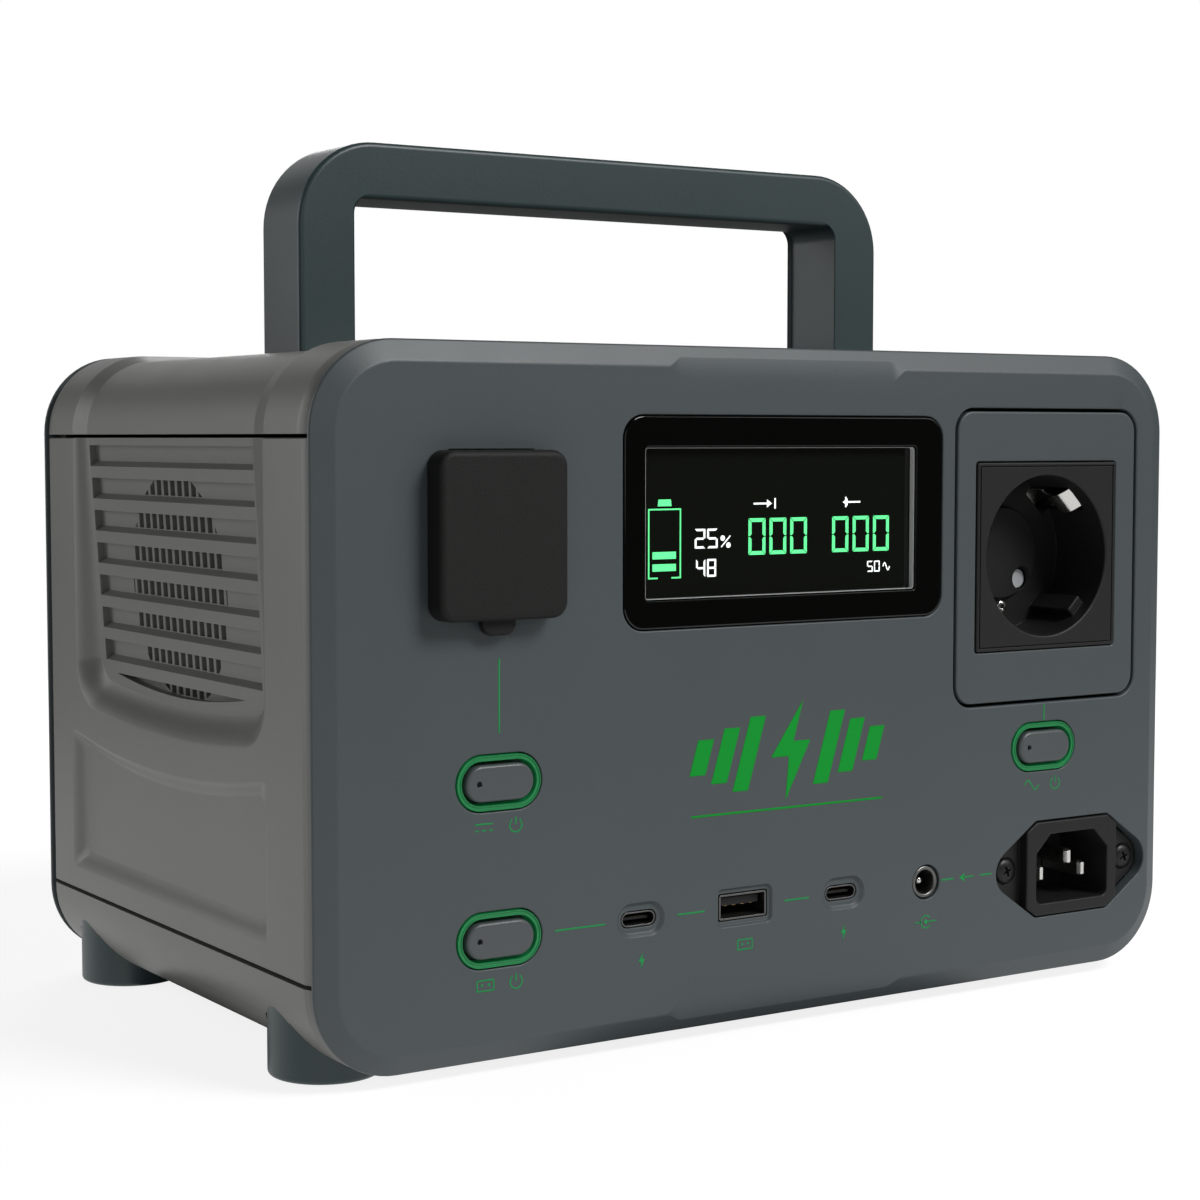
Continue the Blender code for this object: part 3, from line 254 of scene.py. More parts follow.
def ribbon(path, thickness):
    """The outline of a strip of even thickness along an open path."""
    sides = ([], [])
    for index, point in enumerate(path):
        before = Vector(path[max(index - 1, 0)])
        after = Vector(path[min(index + 1, len(path) - 1)])
        along = (after - before).normalized()
        across = Vector((-along.y, along.x)) * thickness / 2
        sides[0].append(Vector(point) + across)
        sides[1].append(Vector(point) - across)
    return sides[1] + sides[0][::-1]


def arc(centre, radius, start, end, steps=24):
    """Points along an arc, with its angles in degrees."""
    angles = [radians(start + (end - start) * step / steps) for step in range(steps + 1)]
    return [(centre[0] + radius * cos(a), centre[1] + radius * sin(a)) for a in angles]


# Solids, as bmeshes in case millimetres

def place(axis, level, outline):
    """The (x, depth, height) points of an outline that stands at a level along an axis."""
    if axis == "x":
        return [(level, u, v) for u, v in outline]
    if axis == "depth":
        return [(u, level, v) for u, v in outline]
    return [(u, v, level) for u, v in outline]


def add_loft(mesh, rings, closed=False):
    """Adds a solid through rings of matching points: capped at both ends, or closed on itself."""
    loops = [[mesh.verts.new(point) for point in ring] for ring in rings]
    pairs = list(zip(loops, loops[1:]))
    if closed:
        pairs.append((loops[-1], loops[0]))
    else:
        mesh.faces.new(loops[0])
        mesh.faces.new(loops[-1])
    for near, far in pairs:
        for i in range(len(near)):
            mesh.faces.new((near[i - 1], near[i], far[i], far[i - 1]))
    return mesh


def loft(axis, sections, closed=False, mesh=None):
    """A solid through (level, outline) sections along an axis."""
    return add_loft(mesh or bmesh.new(), [place(axis, level, outline) for level, outline in sections], closed)


def prism(front, back, outline, mesh=None):
    """A solid with one outline from a front depth to a back depth."""
    return loft("depth", [(front, outline), (back, outline)], mesh=mesh)


def turned(axis, centre, profile, sides=ROUND_SIDES, closed=False, mesh=None):
    """A turned solid: profile is a list of (level, radius)."""
    return loft(axis, [(level, circle(centre, radius, sides)) for level, radius in profile], closed, mesh)


def quarter(radius, steps=4):
    """(depth, grow) pairs down a rounded rim, from the face to the wall."""
    return [(radius * (1 - sin(a)), radius * (1 - cos(a))) for a in
            (pi / 2 * (steps - step) / steps for step in range(steps + 1))]


def sink(outline, floor, rim=0.3, start=0.0, mesh=None):
    """A cutter for a hole whose edge is rounded where it meets the face; outline(grow) gives its shape."""
    sections = [(start - 2, outline(rim))]
    sections += [(start + depth, outline(grow)) for depth, grow in quarter(rim)]
    return loft("depth", sections + [(floor, outline(0))], mesh=mesh)


def block(outline, front, back, edge=0.3, back_edge=0.0, axis="depth", mesh=None):
    """A solid with rounded front and back edges; outline(grow) gives its shape."""
    sections = [(front + depth, outline(-grow)) for depth, grow in quarter(edge)]
    if back_edge:
        sections += [(back - depth, outline(-grow)) for depth, grow in reversed(quarter(back_edge))]
    else:
        sections.append((back, outline(0)))
    return loft(axis, sections, mesh=mesh)


def face_outwards(mesh):
    """Turns every face of a closed mesh outwards."""
    bmesh.ops.recalc_face_normals(mesh, faces=mesh.faces)
    if mesh.calc_volume(signed=True) < 0:
        bmesh.ops.reverse_faces(mesh, faces=mesh.faces)


def temporary(mesh):
    """A bmesh as an object, for a Boolean."""
    face_outwards(mesh)
    data = bpy.data.meshes.new("temporary")
    mesh.to_mesh(data)
    mesh.free()
    thing = bpy.data.objects.new("temporary", data)
    bpy.context.scene.collection.objects.link(thing)
    return thing


def boolean(mesh, shape, operation="DIFFERENCE"):
    """The first bmesh with the second cut out of it, or joined to it."""
    target = temporary(mesh)
    cutter = temporary(shape)
    modifier = target.modifiers.new("boolean", "BOOLEAN")
    modifier.operation = operation
    modifier.object = cutter
    data = bpy.data.meshes.new_from_object(target.evaluated_get(bpy.context.evaluated_depsgraph_get()))
    result = bmesh.new()
    result.from_mesh(data)
    for thing in (target, cutter):
        bpy.data.objects.remove(thing)
    return result


def join(mesh, shape):
    """The union of two bmeshes."""
    return boolean(mesh, shape, "UNION")


def spun(mesh, centre, angle):
    """Turns a mesh about a front-to-back axis through centre."""
    pivot = Vector((centre[0], 0, centre[1]))
    bmesh.ops.rotate(mesh, cent=pivot, matrix=Matrix.Rotation(-angle, 3, "Y"), verts=mesh.verts)
    return mesh


def world(point):
    """Case millimetres to the frame's metres."""
    return Vector((point[0], point[1] - ORIGIN_DEPTH, point[2] + FOOT_REACH)) * MM


def add(name, mesh, material, nodes=(), body="case", sharp=38):
    """Makes a piece that rides on a body and may stand for CAD nodes."""
    for vertex in mesh.verts:
        vertex.co = world(vertex.co)
    face_outwards(mesh)
    data = bpy.data.meshes.new(name)
    mesh.to_mesh(data)
    mesh.free()
    data.shade_smooth()
    data.set_sharp_from_angle(angle=radians(sharp))
    data.materials.append(material)
    piece = bpy.data.objects.new(name, data)
    bpy.context.scene.collection.objects.link(piece)
    weighted = piece.modifiers.new("even shading", "WEIGHTED_NORMAL")
    weighted.keep_sharp = True
    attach(piece, body)
    if nodes:
        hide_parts(*nodes)
    return piece


# Materials

def shaded(colour, factor=1.0):
    """A colour made lighter or darker."""
    return (*(min(1, part * factor) for part in colour), 1)


class Finish:
    """A material's node tree, with a Principled BSDF at its end."""

    def __init__(self, name, **values):
        self.material = bpy.data.materials.new(name)
        self.material.use_nodes = True
        self.tree = self.material.node_tree
        self.shader = self.tree.nodes["Principled BSDF"]
        for socket, value in values.items():
            self.shader.inputs[socket.replace("_", " ")].default_value = value
        self.place = self.node("ShaderNodeTexCoord").outputs["Object"]

    def node(self, kind, **inputs):
        """A new node with some inputs set or linked."""
        made = self.tree.nodes.new(kind)
        for name, value in inputs.items():
            self.feed(made.inputs[name.replace("_", " ")], value)
        return made

    def feed(self, socket, value):
        """Links a socket, or sets its value."""
        if isinstance(value, bpy.types.NodeSocket):
            self.tree.links.new(value, socket)
        else:
            socket.default_value = value

    def noise(self, size, detail=2.0, roughness=0.5):
        """Noise with features of a size in millimetres."""
        return self.node("ShaderNodeTexNoise", Vector=self.place, Scale=1 / (size * MM), Detail=detail,
                         Roughness=roughness).outputs["Fac"]

    def ramp(self, value, low, high, start=0.0, end=1.0):
        """A value mapped from start..end to low..high."""
        return self.node("ShaderNodeMapRange", Value=value, From_Min=start, From_Max=end, To_Min=low,
                         To_Max=high).outputs["Result"]

    def mix(self, share, first, second):
        """Two colours mixed by a share."""
        made = self.node("ShaderNodeMix")
        made.data_type = "RGBA"
        self.feed(made.inputs["Factor"], share)
        self.feed(made.inputs["A"], first)
        self.feed(made.inputs["B"], second)
        return made.outputs["Result"]

    def edge_normal_and_highlight(self, radius):
        """The rounded normal, and a mask that is 1 along edges, where a painted highlight goes."""
        rounded = self.node("ShaderNodeBevel", Radius=radius * MM)
        rounded.samples = 6
        flat = self.node("ShaderNodeNewGeometry")
        dot = self.node("ShaderNodeVectorMath")
        dot.operation = "DOT_PRODUCT"
        self.feed(dot.inputs[0], rounded.outputs["Normal"])
        self.feed(dot.inputs[1], flat.outputs["Normal"])
        return rounded.outputs["Normal"], self.ramp(dot.outputs["Value"], 1.0, 0.0, 0.80, 0.98)


def surface(name, colour, roughness, metallic=0.0, grain=0.5, bump=0.25, edge=0.25, edge_highlight=0.25, blotch=0.05,
            **values):
    """A moulded or machined surface: fine grain, slow changes in tone and gloss, and a painted highlight that
    lightens its edges.
    """
    finish = Finish(name, Metallic=metallic, **values)
    normal, highlight_mask = finish.edge_normal_and_highlight(edge)
    slow = finish.noise(38.0, 3.0)
    tone = finish.mix(slow, shaded(colour, 1 - blotch), shaded(colour, 1 + blotch))
    fleck = finish.ramp(finish.noise(grain * 0.7, 1.0), 0.0, 0.35, 0.52, 0.75)
    tone = finish.mix(fleck, tone, shaded(colour, 1.18))
    # painted highlight: the colour is made much lighter along edges, as if they caught the light
    tone = finish.mix(finish.ramp(highlight_mask, 0.0, edge_highlight), tone, shaded(colour, 1.9))
    finish.feed(finish.shader.inputs["Base Color"], tone)
    gloss = finish.ramp(finish.noise(22.0, 4.0, 0.6), roughness - 0.015, roughness + 0.015, 0.3, 0.7)
    finish.feed(finish.shader.inputs["Roughness"], gloss)
    relief = finish.node("ShaderNodeBump", Height=finish.noise(grain, 2.0, 0.6), Normal=normal, Strength=bump,
                         Distance=0.1 * MM)
    finish.feed(finish.shader.inputs["Normal"], relief.outputs["Normal"])
    return finish.material


def patterned(name, colour, line, roughness, scale, metallic=0.0):
    """A surface with a fine brick-like net of lines, for boards and film."""
    finish = Finish(name, Metallic=metallic, Roughness=roughness)
    net = finish.node("ShaderNodeTexBrick", Vector=finish.place, Scale=scale, Mortar_Size=0.03)
    tone = finish.mix(net.outputs["Fac"], shaded(colour), shaded(line))
    tone = finish.mix(finish.ramp(finish.noise(6.0), 0.0, 0.3), tone, shaded(colour, 0.6))
    finish.feed(finish.shader.inputs["Base Color"], tone)
    relief = finish.node("ShaderNodeBump", Height=net.outputs["Fac"], Strength=0.3, Distance=0.05 * MM)
    finish.feed(finish.shader.inputs["Normal"], relief.outputs["Normal"])
    return finish.material


def lit(name, colour, strength):
    """A lit segment or light guide: its glow varies a little over its surface."""
    finish = Finish(name, Roughness=0.4, Emission_Strength=strength)
    tone = finish.mix(finish.noise(1.2, 2.0), shaded(colour, 0.8), shaded(colour, 1.1))
    finish.feed(finish.shader.inputs["Base Color"], tone)
    finish.feed(finish.shader.inputs["Emission Color"], tone)
    return finish.material


# Painted highlight: each surface below lightens its edges by the given strength, 0.25 unless set.
CASE = surface("case_plastic", (0.128, 0.128, 0.121), 0.44)
FRONT = surface("front_plastic", (0.052, 0.064, 0.068), 0.46)
TEAL = surface("handle_plastic", (0.022, 0.040, 0.042), 0.42, edge_highlight=0.2)
BLACK = surface("black_plastic", (0.007, 0.007, 0.007), 0.52, bump=0.35, Specular_IOR_Level=0.35)
DARK = surface("inner_plastic", (0.002, 0.002, 0.002), 0.7, Specular_IOR_Level=0.2)
BUTTON = surface("button_plastic", (0.062, 0.070, 0.074), 0.38, edge_highlight=0.5)
RUBBER = surface("rubber", (0.007, 0.007, 0.0065), 0.6, grain=0.45, bump=0.9, edge=0.4, edge_highlight=0.1,
                 Specular_IOR_Level=0.25)
GLOSS = surface("gloss_black", (0.0012, 0.0014, 0.0010), 0.08, grain=3.0, bump=0.01, edge_highlight=0.05)
SCREEN_FACE = surface("screen_face", (0.0045, 0.0052, 0.0036), 0.12, grain=2.0, bump=0.01, edge_highlight=0.0)
STEEL = surface("nickel", (0.72, 0.71, 0.68), 0.2, 1.0, bump=0.12, edge=0.12, edge_highlight=0.0, blotch=0.04)
SCREW = surface("black_steel", (0.02, 0.02, 0.02), 0.38, 0.6, bump=0.3)
ALLOY = surface("aluminium", (0.62, 0.63, 0.64), 0.35, 1.0, bump=0.3)
FERRITE = surface("ferrite", (0.03, 0.028, 0.026), 0.55, bump=0.6)
CONTACT = surface("pale_contact", (0.60, 0.62, 0.64), 0.3, 0.2, bump=0.1)
# painted highlight: a light grey finish for the thin strip inside the display window, standing in for light
# on its inner wall
PAINTED_HIGHLIGHT = surface("painted_highlight_strip", (0.55, 0.56, 0.56), 0.35, bump=0.1, edge_highlight=0.0)
SHELL = surface("port_steel", (0.16, 0.16, 0.155), 0.38, 1.0, bump=0.1, edge=0.1, edge_highlight=0.0)
GOLD = surface("gold_contact", (0.75, 0.52, 0.22), 0.28, 1.0, bump=0.1)
BOARD = patterned("circuit_board", (0.01, 0.09, 0.03), (0.04, 0.24, 0.08), 0.4, 120.0)
CELL = patterned("cell_film", (0.03, 0.12, 0.42), (0.3, 0.4, 0.5), 0.3, 18.0)
PRINT = surface("green_print", (0.014, 0.260, 0.070), 0.6, grain=0.4, bump=0.2, edge_highlight=0.0,
                Specular_IOR_Level=0.2)
MARK = surface("green_mark", (0.002, 0.260, 0.024), 0.6, grain=0.4, bump=0.2, edge_highlight=0.0,
               Specular_IOR_Level=0.15)
RING = lit("light_ring", (0.008, 0.180, 0.052), 0.16)
GREEN_SEGMENT = lit("green_segment", (0.09, 0.66, 0.22), 1.0)
WHITE_SEGMENT = lit("white_segment", (0.78, 0.82, 0.82), 0.9)

SLOT_FINISHES = {"front_grey": FRONT, "case_grey": CASE, "dark_teal": TEAL, "display_glass": GLOSS,
                 "black_plastic": BLACK, "contact_metal": STEEL, "black_steel": SCREW, "black_rubber": RUBBER,
                 "green_light": RING, "button_grey": BUTTON, "circuit_board": BOARD,
                 "heat_sink_aluminium": ALLOY, "ferrite": FERRITE, "cell_wrap": CELL}


def dress_nodes():
    """Gives every CAD node the finish of its slot."""
    for entry in frame["record"]["subparts"]:
        node = frame["nodes"][entry["node"]]
        node.data.materials.clear()
        node.data.materials.append(SLOT_FINISHES[entry["material_slot"]])
    for name in ("fan_frame", "fan_rotor", "cell_holder_left", "cell_holder_right"):
        frame["nodes"][name].data.materials[0] = DARK
    for name in ("socket_contact_left", "socket_contact_right"):
        frame["nodes"][name].data.materials[0] = CONTACT
    for name in ("usb_c_shell_left", "usb_c_shell_right", "usb_a_shell"):
        frame["nodes"][name].data.materials[0] = SHELL


# The case

def case_outline(inset):
    """The case's cross-section, seen from the front."""
    return rectangle((-HALF_WIDTH, HALF_WIDTH, 0, CASE_HEIGHT), CASE_CORNER, -inset, CORNER_STEPS)


def notches(depth_at):
    """Cutters for the facets in the middle of the top and bottom chamfers."""
    mesh = bmesh.new()
    slope = CHAMFER_DEPTH / CHAMFER_WIDTH
    for edge, inward in ((CASE_HEIGHT, -1), (0, 1)):
        face = (0, edge + inward * NOTCH_FACE)
        chamfer = ((CHAMFER_WIDTH - NOTCH_CHAMFER) * slope, edge + inward * NOTCH_CHAMFER)
        ridge = (0, edge + inward * CHAMFER_WIDTH)
        outside = (-4, edge + inward * 2)
        points = [(x, depth_at(depth), height) for x in (-NOTCH_HALF, NOTCH_HALF)
                  for depth, height in (face, chamfer, outside)]
        points += [(x, depth_at(depth), height) for x in (-NOTCH_END, NOTCH_END)
                   for depth, height in (ridge, outside)]
        bmesh.ops.convex_hull(mesh, input=[mesh.verts.new(point) for point in points])
    return mesh


def cover_mesh(depth_at):
    """A dished cover with a chamfer and an inner lip; depth_at turns its depth into the case's."""
    flat = 13.0
    profile = filleted([(0, flat), (0, CHAMFER_WIDTH, 1.6), (CHAMFER_DEPTH, 0, 0.7), (COVER_EDGE, 0, 0.3),
                        (COVER_EDGE, LIP_INSET), (LIP_DEPTH, LIP_INSET), (LIP_DEPTH, LIP_INSET + LIP_WALL),
                        (COVER_WALL, LIP_INSET + LIP_WALL), (COVER_WALL, flat)], 5)
    mesh = loft("depth", [(depth_at(depth), case_outline(inset)) for depth, inset in profile])
    return boolean(mesh, notches(depth_at))


def inlet_outline(grow=0.0, half_width=None):
    """The six-sided outline of the inlet's flange, or the middle of it."""
    rise = INLET_RISE + grow
    tip = INLET_TIP + 1.8 * grow
    flat = INLET_FLAT + 0.3 * grow
    if half_width is None:
        end = INLET_TIP_RADIUS + grow
        corners = [(-flat, -rise, 2), (flat, -rise, 2), (tip, 0, end), (flat, rise, 2), (-flat, rise, 2),
                   (-tip, 0, end)]
    else:
        reach = half_width + grow
        side = rise * (tip - reach) / (tip - flat)
        corners = [(-flat, -rise, 1), (flat, -rise, 1), (reach, -side, 0.6), (reach, side, 0.6),
                   (flat, rise, 1), (-flat, rise, 1), (-reach, side, 0.6), (-reach, -side, 0.6)]
    return filleted([(u + INLET[0], v + INLET[1], *rest) for u, v, *rest in corners])


def make_front_cover():
    """The front cover, with a round-edged pocket or hole for each thing on the panel."""
    cover = cover_mesh(lambda depth: depth)
    pockets = sink(lambda g: rectangle(DISPLAY, DISPLAY_CORNER, GAP + g), DISPLAY_BACK + 0.3, 0.35)
    sink(lambda g: inlet_outline(GAP + g), INLET_EAR_BACK + GAP, 0.35, mesh=pockets)
    for centre in USB_C:
        sections = [(depth, pill(centre, length, height)) for depth, length, height in USB_C_RECESS]
        loft("depth", sections, mesh=pockets)
    sections = [(depth, rectangle(centred(USB_A, length, height), corner))
                for depth, length, height, corner in USB_A_RECESS]
    loft("depth", sections, mesh=pockets)
    cover = boolean(cover, pockets)

    holes = sink(lambda g: rectangle(SURROUND, SURROUND_CORNER, GROOVE + g), THROUGH, 0.5)
    sink(lambda g: circle(DC_JACK, 4.2 + g), THROUGH, 0.3, mesh=holes)
    for centre in BUTTONS.values():
        sink(lambda g, c=centre: pill(c, *RING_SIZE, GAP + g), THROUGH, 0.3, mesh=holes)
    for centre in USB_C:
        sink(lambda g, c=centre: pill(c, *USB_C_HOLE, g), THROUGH, 0.15, 1.0, mesh=holes)
    sink(lambda g: rectangle(centred(USB_A, *USB_A_HOLE), 0.6, g), THROUGH, 0.15, 0.8, mesh=holes)
    prism(1, THROUGH, rectangle(SCREEN, 1, 2), holes)
    for outline in (circle(CAR_SOCKET, CAR_SOCKET_HOLE), rectangle(centred(INLET, *INLET_HOLE), 2),
                    rectangle(front_bounds("flap_anchor"), 0, 0.2)):
        prism(-2, THROUGH, outline, holes)
    add("front_shell", boolean(cover, holes), FRONT, ("front_cover",))


def make_rear_cover():
    """The rear cover, held by four recessed screws."""
    cover = cover_mesh(lambda depth: CASE_DEPTH - depth)
    reach = HALF_WIDTH - REAR_SCREW_INSET
    spots = [(x, height) for x in (-reach, reach)
             for height in (REAR_SCREW_INSET, CASE_HEIGHT - REAR_SCREW_INSET)]
    wells = bmesh.new()
    for spot in spots:
        turned("depth", spot, [(CASE_DEPTH + 2, 4.4), (CASE_DEPTH, 4.4), (CASE_DEPTH - 0.3, 4.0),
                               (REAR_SCREW_SEAT, 4.0)], 40, mesh=wells)
    add("rear_shell", boolean(cover, wells), FRONT, ("rear_cover",))
    for number, spot in enumerate(spots, 1):
        add(f"rear_screw_{number}", screw_head(spot, REAR_SCREW_SEAT, 3.2, -1), SCREW)


def screw_head(centre, seat, radius, facing=1):
    """A domed screw head with a cross recess, on a seat; facing is 1 to the front and -1 to the rear."""
    rise = radius * 0.45
    dome = [(seat - facing * 0.05, radius)]
    dome += [(seat - facing * (0.3 + (rise - 0.3) * sin(a)), radius * cos(a * 0.86)) for a in
             (pi / 2 * step / 7 for step in range(8))]
    head = turned("depth", centre, dome, 40)
    for turn in (0, pi / 2):
        wing = loft("depth", [(seat - facing * (rise + 1), rectangle(centred(centre, radius * 1.25, 0.9))),
                              (seat - facing * (rise - 1.0), rectangle(centred(centre, radius * 0.6, 0.5)))])
        head = boolean(head, spun(wing, centre, turn + 0.35))
    return head


def arch(offset, seam, crown_side):
    """The open side of a shell's cross-section: up one side, round the crown and down the other."""
    radius = CASE_CORNER - offset
    left, right = offset - HALF_WIDTH, HALF_WIDTH - offset
    crown = CASE_HEIGHT - offset if crown_side > 0 else offset
    corners = [(right, seam), (right, crown, radius), (left, crown, radius), (left, seam)]
    return filleted(corners, CORNER_STEPS)


def shell_profile(middle=()):
    """(depth, inset) from front to rear along a shell or side panel, with bevelled ends."""
    return [(SHELL_FRONT, SHELL_EDGE_INSET + 0.25), (SHELL_FRONT + 0.2, SHELL_EDGE_INSET),
            (SHELL_FRONT + SHELL_EDGE, 0), *middle, (SHELL_REAR - SHELL_EDGE, 0),
            (SHELL_REAR - 0.2, SHELL_EDGE_INSET), (SHELL_REAR, SHELL_EDGE_INSET + 0.25)]


def shell_mesh(seam, crown_side, middle=()):
    """The top or bottom shell, with an optional band."""
    inner = arch(CASE_WALL, seam, crown_side)[::-1]
    return loft("depth", [(depth, arch(inset, seam, crown_side) + inner)
                          for depth, inset in shell_profile(middle)])


def foot_circle(node):
    """A foot's middle as (x, depth), and its radius."""
    (left, right), (front, rear), _ = span(node)
    return ((left + right) / 2, (front + rear) / 2), (right - left) / 2


def make_shells():
    """The top shell with its band, and the bottom shell with holes for the feet."""
    band = filleted([(SHELL_FRONT + 4, 0), (BAND_FRONT, 0, 4), (BAND_FLOOR_FRONT, BAND_RECESS, 4),
                     (BAND_FLOOR_REAR, BAND_RECESS, 3), (BAND_REAR, 0, 3), (SHELL_REAR - 4, 0)], 5)
    top = shell_mesh(TOP_SEAM, 1, [tuple(point) for point in band])
    add("top_shell", top, CASE, ("top_cover",))
    bottom = shell_mesh(BOTTOM_SEAM, -1)
    holes = bmesh.new()
    for node in FEET:
        centre, radius = foot_circle(node)
        turned("height", centre, [(-5, radius + GAP), (10, radius + GAP)], mesh=holes)
    add("bottom_shell_skin", boolean(bottom, holes), CASE, ("bottom_shell",))


# Side panels

def vent_inset(height):
    """How deep the vent's floor lies at a height."""
    return BAND_RECESS + (VENT_TOP - height) * VENT_SLOPE


def vent_floor(height):
    """Where the vent's floor starts and ends at a height, as depths."""
    taper = (VENT_TOP - height) * VENT_TAPER
    return BAND_FLOOR_FRONT + taper, BAND_FLOOR_REAR - taper


def bulge(front, rear, height, sag, turn=1):
    """Points along an edge that bulges down in its middle."""
    middle, reach = (front + rear) / 2, (rear - front) / 2
    return [(middle + reach * t * turn, height + sag * t * t) for t in (step / 10 for step in range(-7, 8))]


def vent_point(side, reach, depth, height):
    """A point some way in from the vent's floor."""
    return side * (HALF_WIDTH - vent_inset(height) - reach), depth, height


def vent_outline(front, rear, bottom, sag, corner):
    """The vent as (depth, height): flat top, round lower corners and a bottom edge that bulges down."""
    return filleted([(front, PANEL_TOP + 2), (front, bottom + sag, corner), *bulge(front, rear, bottom, sag),
                     (rear, bottom + sag, corner), (rear, PANEL_TOP + 2)], 12)


def lower_outline(shrink):
    """The lower recess's outline: its top edge follows the vent's bulge."""
    front, rear = LOWER_FRONT + shrink, LOWER_REAR - shrink
    top = LOWER_TOP - shrink * 0.7
    radius = 1.5 + shrink * 0.2
    bottom = LOWER_BOTTOM + shrink * 0.8
    return filleted([(front, bottom, radius), (rear, bottom, radius), (rear, top + LOWER_SAG, radius),
                     *bulge(front, rear, top, LOWER_SAG, -1),
                     (front, top + LOWER_SAG, radius)], 6)


def soft_recess(side, rim, floor, depth_of):
    """Rings of a recess whose wall runs softly from its rim to its floor."""
    rings = [[(side * (HALF_WIDTH + 1), u, v) for u, v in rim]]
    steps = 10
    for step in range(steps + 1):
        t = step / steps
        eased = t - sin(2 * pi * t) / (2 * pi) * 0.35
        ring = []
        for (u, v), (floor_u, floor_v) in zip(rim, floor):
            here_u, here_v = u + (floor_u - u) * t, v + (floor_v - v) * t
            ring.append((side * (HALF_WIDTH - depth_of(here_v) * eased), here_u, here_v))
        rings.append(ring)
    return rings


def clipped(polygon, start, end):
    """The part of a convex polygon that lies to the left of the line from start to end."""
    start, end = Vector(start), Vector(end)
    along = end - start
    kept = []
    for index, here in enumerate(polygon):
        before = polygon[index - 1]
        side_before = along.cross(before - start)
        side_here = along.cross(here - start)
        if side_before * side_here < 0:
            kept.append(before.lerp(here, side_before / (side_before - side_here)))
        if side_here >= 0:
            kept.append(here)
    return kept


def slot_cells():
    """Each vent slot's outline: rows between the louvres, with ends that slant along the round field."""
    def reach(height):
        return max(SLOT_FIELD_RADIUS ** 2 - (height - FAN[1]) ** 2, 0) ** 0.5

    rows = [(RIB_TOP - row * RIB_PITCH - LOUVRE_HEIGHT + LOUVRE_SLOPE + 0.2, RIB_TOP - row * RIB_PITCH - 0.1)
            for row in range(1, RIB_COUNT)]
    rows.append((CRESCENT_BOTTOM + 0.2, CRESCENT_TOP - 0.4))
    for low, high in rows:
        half_low, half_high = max(reach(low), 8.0), max(reach(high), 8.0)
        for column in range(-7, 8):
            middle = column * SLOT_PITCH
            slot = rectangle((middle - SLOT_WIDTH / 2, middle + SLOT_WIDTH / 2, low, high))
            slot = clipped(slot, (half_low, low), (half_high, high))
            slot = clipped(slot, (-half_high, high), (-half_low, low)) if slot else slot
            if len(slot) > 2 and max(v for _, v in slot) - min(v for _, v in slot) > 1.0:
                yield [(FAN[0] + u, v) for u, v in slot]


def make_side_panel(side, node):
    """A side panel: a plate with a louvred vent above and a plain soft recess below."""
    def section(inset):
        outer, inner = side * (HALF_WIDTH - inset), side * (HALF_WIDTH - 9)
        edge = 0.25
        return [(outer - side * edge, PANEL_LOW), (outer, PANEL_LOW + edge), (outer, PANEL_TOP - edge),
                (outer - side * edge, PANEL_TOP), (inner, PANEL_TOP), (inner, PANEL_LOW)]

    panel = loft("depth", [(depth, section(inset)) for depth, inset in shell_profile()])

    floor_low, floor_high = vent_floor((PANEL_TOP + VENT_FLOOR_BOTTOM) / 2)
    rim = vent_outline(BAND_FRONT, BAND_REAR, VENT_BOTTOM, VENT_SAG, VENT_CORNER)
    floor = vent_outline(floor_low, floor_high, VENT_FLOOR_BOTTOM, 2.6, 6)
    recesses = add_loft(bmesh.new(), soft_recess(side, rim, floor, vent_inset))
    rim, floor = lower_outline(0), lower_outline(LOWER_SLOPE)
    add_loft(recesses, soft_recess(side, rim, floor, lambda v: LOWER_RECESS))
    panel = boolean(panel, recesses)

    louvres = bmesh.new()
    for rib in range(RIB_COUNT):
        top = RIB_TOP - rib * RIB_PITCH
        low = top - LOUVRE_HEIGHT
        blade = [(-1.0, top), (LOUVRE_DEPTH, top), (LOUVRE_DEPTH, low + LOUVRE_SLOPE),
                 (-1.0, low - LOUVRE_SLOPE / LOUVRE_DEPTH)]
        front, rear = vent_floor(top)
        add_loft(louvres, [[vent_point(side, reach, depth, v) for reach, v in blade]
                           for depth in (front + LOUVRE_MARGIN, rear - LOUVRE_MARGIN)])
    crescent = [(FAN[0] + CRESCENT_HALF * t, CRESCENT_BOTTOM + (CRESCENT_TOP - CRESCENT_BOTTOM) * t * t)
                for t in (step / 12 for step in range(-12, 13))]
    add_loft(louvres, [[vent_point(side, reach, u, v) for u, v in crescent]
                       for reach in (-1.0, LOUVRE_DEPTH + 0.6)])
    panel = boolean(panel, louvres)

    slots = bmesh.new()
    for cell in slot_cells():
        add_loft(slots, [[vent_point(side, reach, u, v) for u, v in cell]
                         for reach in (LOUVRE_DEPTH - 0.8, 12)])
    add(f"{node}_skin", boolean(panel, slots), CASE, (node,), sharp=32)


def make_handle():
    """The carry handle, with softly rounded edges."""
    (left, right), (front, rear), (foot, top) = span("carry_handle")

    def outline(grow):
        inner_left, inner_right = left + HANDLE_LEG - grow, right - HANDLE_LEG + grow
        under = top - HANDLE_BAR - grow
        inner = HANDLE_INNER_CORNER - grow
        outer = HANDLE_OUTER_CORNER + grow
        return filleted([(left - grow, foot), (inner_left, foot), (inner_left, under, inner),
                         (inner_right, under, inner), (inner_right, foot), (right + grow, foot),
                         (right + grow, top + grow, outer), (left - grow, top + grow, outer)], CORNER_STEPS)

    handle = block(outline, front, rear, HANDLE_EDGE, HANDLE_EDGE)
    add("handle_skin", handle, TEAL, ("carry_handle",))


